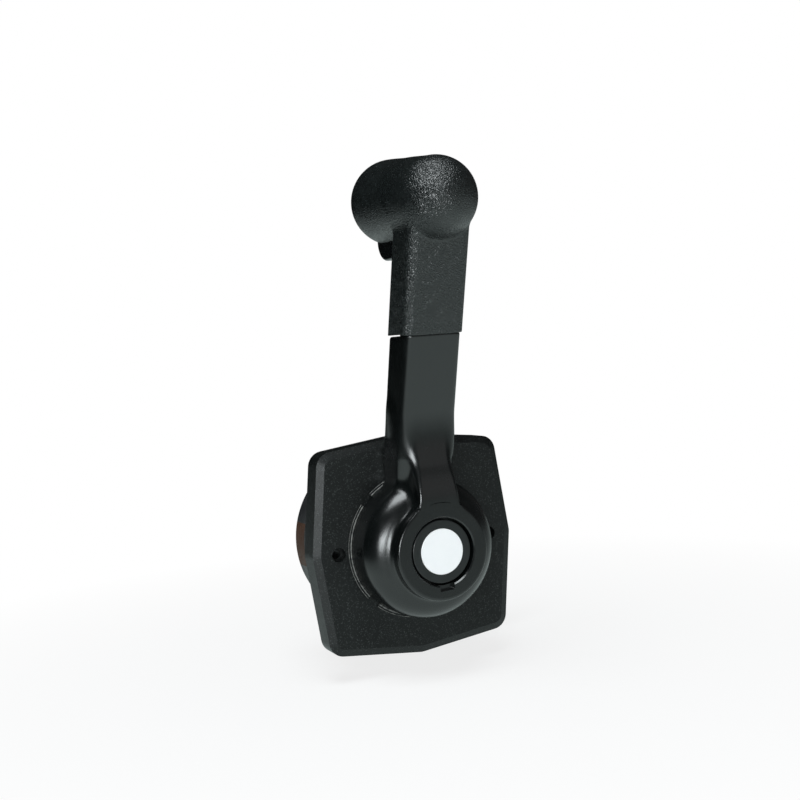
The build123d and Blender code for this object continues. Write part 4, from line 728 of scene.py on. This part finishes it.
floor_reach, floor_height = 6.0, cad_box[0][2] - 0.001
floor_mesh = bpy.data.meshes.new("floor")
floor_mesh.from_pydata([(x * floor_reach, y * floor_reach, floor_height)
                        for x, y in ((-1, -1), (1, -1), (1, 1), (-1, 1))], [], [(0, 1, 2, 3)])
floor = bpy.data.objects.new("floor", floor_mesh)
bpy.context.scene.collection.objects.link(floor)
pale = bpy.data.materials.new("floor_pale")
pale.use_nodes = True
tree = pale.node_tree
tree.nodes.clear()
matt = node(tree, "BsdfDiffuse", {"Color": (0.86, 0.86, 0.86, 1)})
paths = node(tree, "LightPath").outputs
seen, mirror_ray = paths["Is Camera Ray"], paths["Is Glossy Ray"]
place = node(tree, "TexCoord").outputs["Object"]
apart = node(tree, "VectorMath", {0: place}, operation="LENGTH").outputs["Value"]
tint = node(tree, "Mix", {0: seen, 6: (0.86, 1.0, 0.98, 1), 7: (1, 1, 1, 1)}, data_type="RGBA")
east = node(tree, "SeparateXYZ", {0: place}).outputs[0]
steep = node(tree, "SeparateXYZ", {0: node(tree, "NewGeometry").outputs["Incoming"]}).outputs[2]
table = math(tree, "MULTIPLY", spread(tree, east, -0.37, -0.28, 0.06, 1.0),
             spread(tree, steep, 0.12, 0.50, 0.38, 1.0))
table = math(tree, "MULTIPLY", table, spread(tree, apart, 0.0, 0.16, 0.72, 1.0))
glow = node(tree, "Emission", {
    "Color": tint.outputs[2],
    "Strength": math(tree, "ADD", seen, math(tree, "MULTIPLY", mirror_ray, table))})
seen_glow = math(tree, "MULTIPLY", seen, spread(tree, apart, 0.10, 0.45, 0.80, 1.0))
part_glow = math(tree, "ADD", seen_glow, mirror_ray)
both = node(tree, "MixShader", {0: part_glow, 1: matt.outputs[0], 2: glow.outputs[0]})
tree.links.new(both.outputs[0], node(tree, "OutputMaterial").inputs["Surface"])
floor_mesh.materials.append(pale)

world = bpy.data.worlds.new("surround")
bpy.context.scene.world = world
world.use_nodes = True
tree = world.node_tree
tree.nodes.clear()
direction = node(tree, "TexCoord").outputs["Generated"]
east = node(tree, "SeparateXYZ", {0: direction}).outputs[0]
to_card = (0.42, -0.87, 0.26)
card = node(tree, "VectorMath", {0: direction, 1: to_card}, operation="DOT_PRODUCT")
mirrored = math(tree, "ADD", spread(tree, east, 0.45, 0.95, 0.006, 0.06),
                spread(tree, card.outputs["Value"], 0.90, 0.98, 0.0, 0.42))
paths = node(tree, "LightPath").outputs
glossy = math(tree, "MAXIMUM", paths["Is Glossy Ray"], paths["Is Transmission Ray"])
unseen = node(tree, "Mix", {0: glossy, 2: 0.05, 3: mirrored}, data_type="FLOAT").outputs[0]
strength = node(tree, "Mix", {0: paths["Is Camera Ray"], 2: unseen, 3: 1.0}, data_type="FLOAT")
sky = node(tree, "Background", {"Color": (1, 1, 1, 1), "Strength": strength.outputs[0]})
tree.links.new(sky.outputs[0], node(tree, "OutputWorld").inputs["Surface"])

# two soft lamps, one low on the left and one high over the part
lamp_aim, lamp_colour = Vector((0.0, -0.03, 0.05)), (0.92, 0.98, 1.0)


def softbox(name, place, wide, high, watts):
    """A rectangular lamp at a place, turned to the part's middle."""
    lamp = bpy.data.lights.new(name, "AREA")
    lamp.shape, lamp.size, lamp.size_y = "RECTANGLE", wide, high
    lamp.energy, lamp.color = watts, lamp_colour
    made = bpy.data.objects.new(name, lamp)
    look = (lamp_aim - Vector(place)).to_track_quat("-Z", "Y").to_matrix().to_4x4()
    made.matrix_world = Matrix.Translation(place) @ look
    made.visible_camera = False
    bpy.context.scene.collection.objects.link(made)


softbox("lamp_left", (-0.72, -1.12, 0.13), 0.62, 0.32, 10.5)
softbox("lamp_top", (-0.24, -0.36, 1.12), 0.70, 0.60, 12.5)
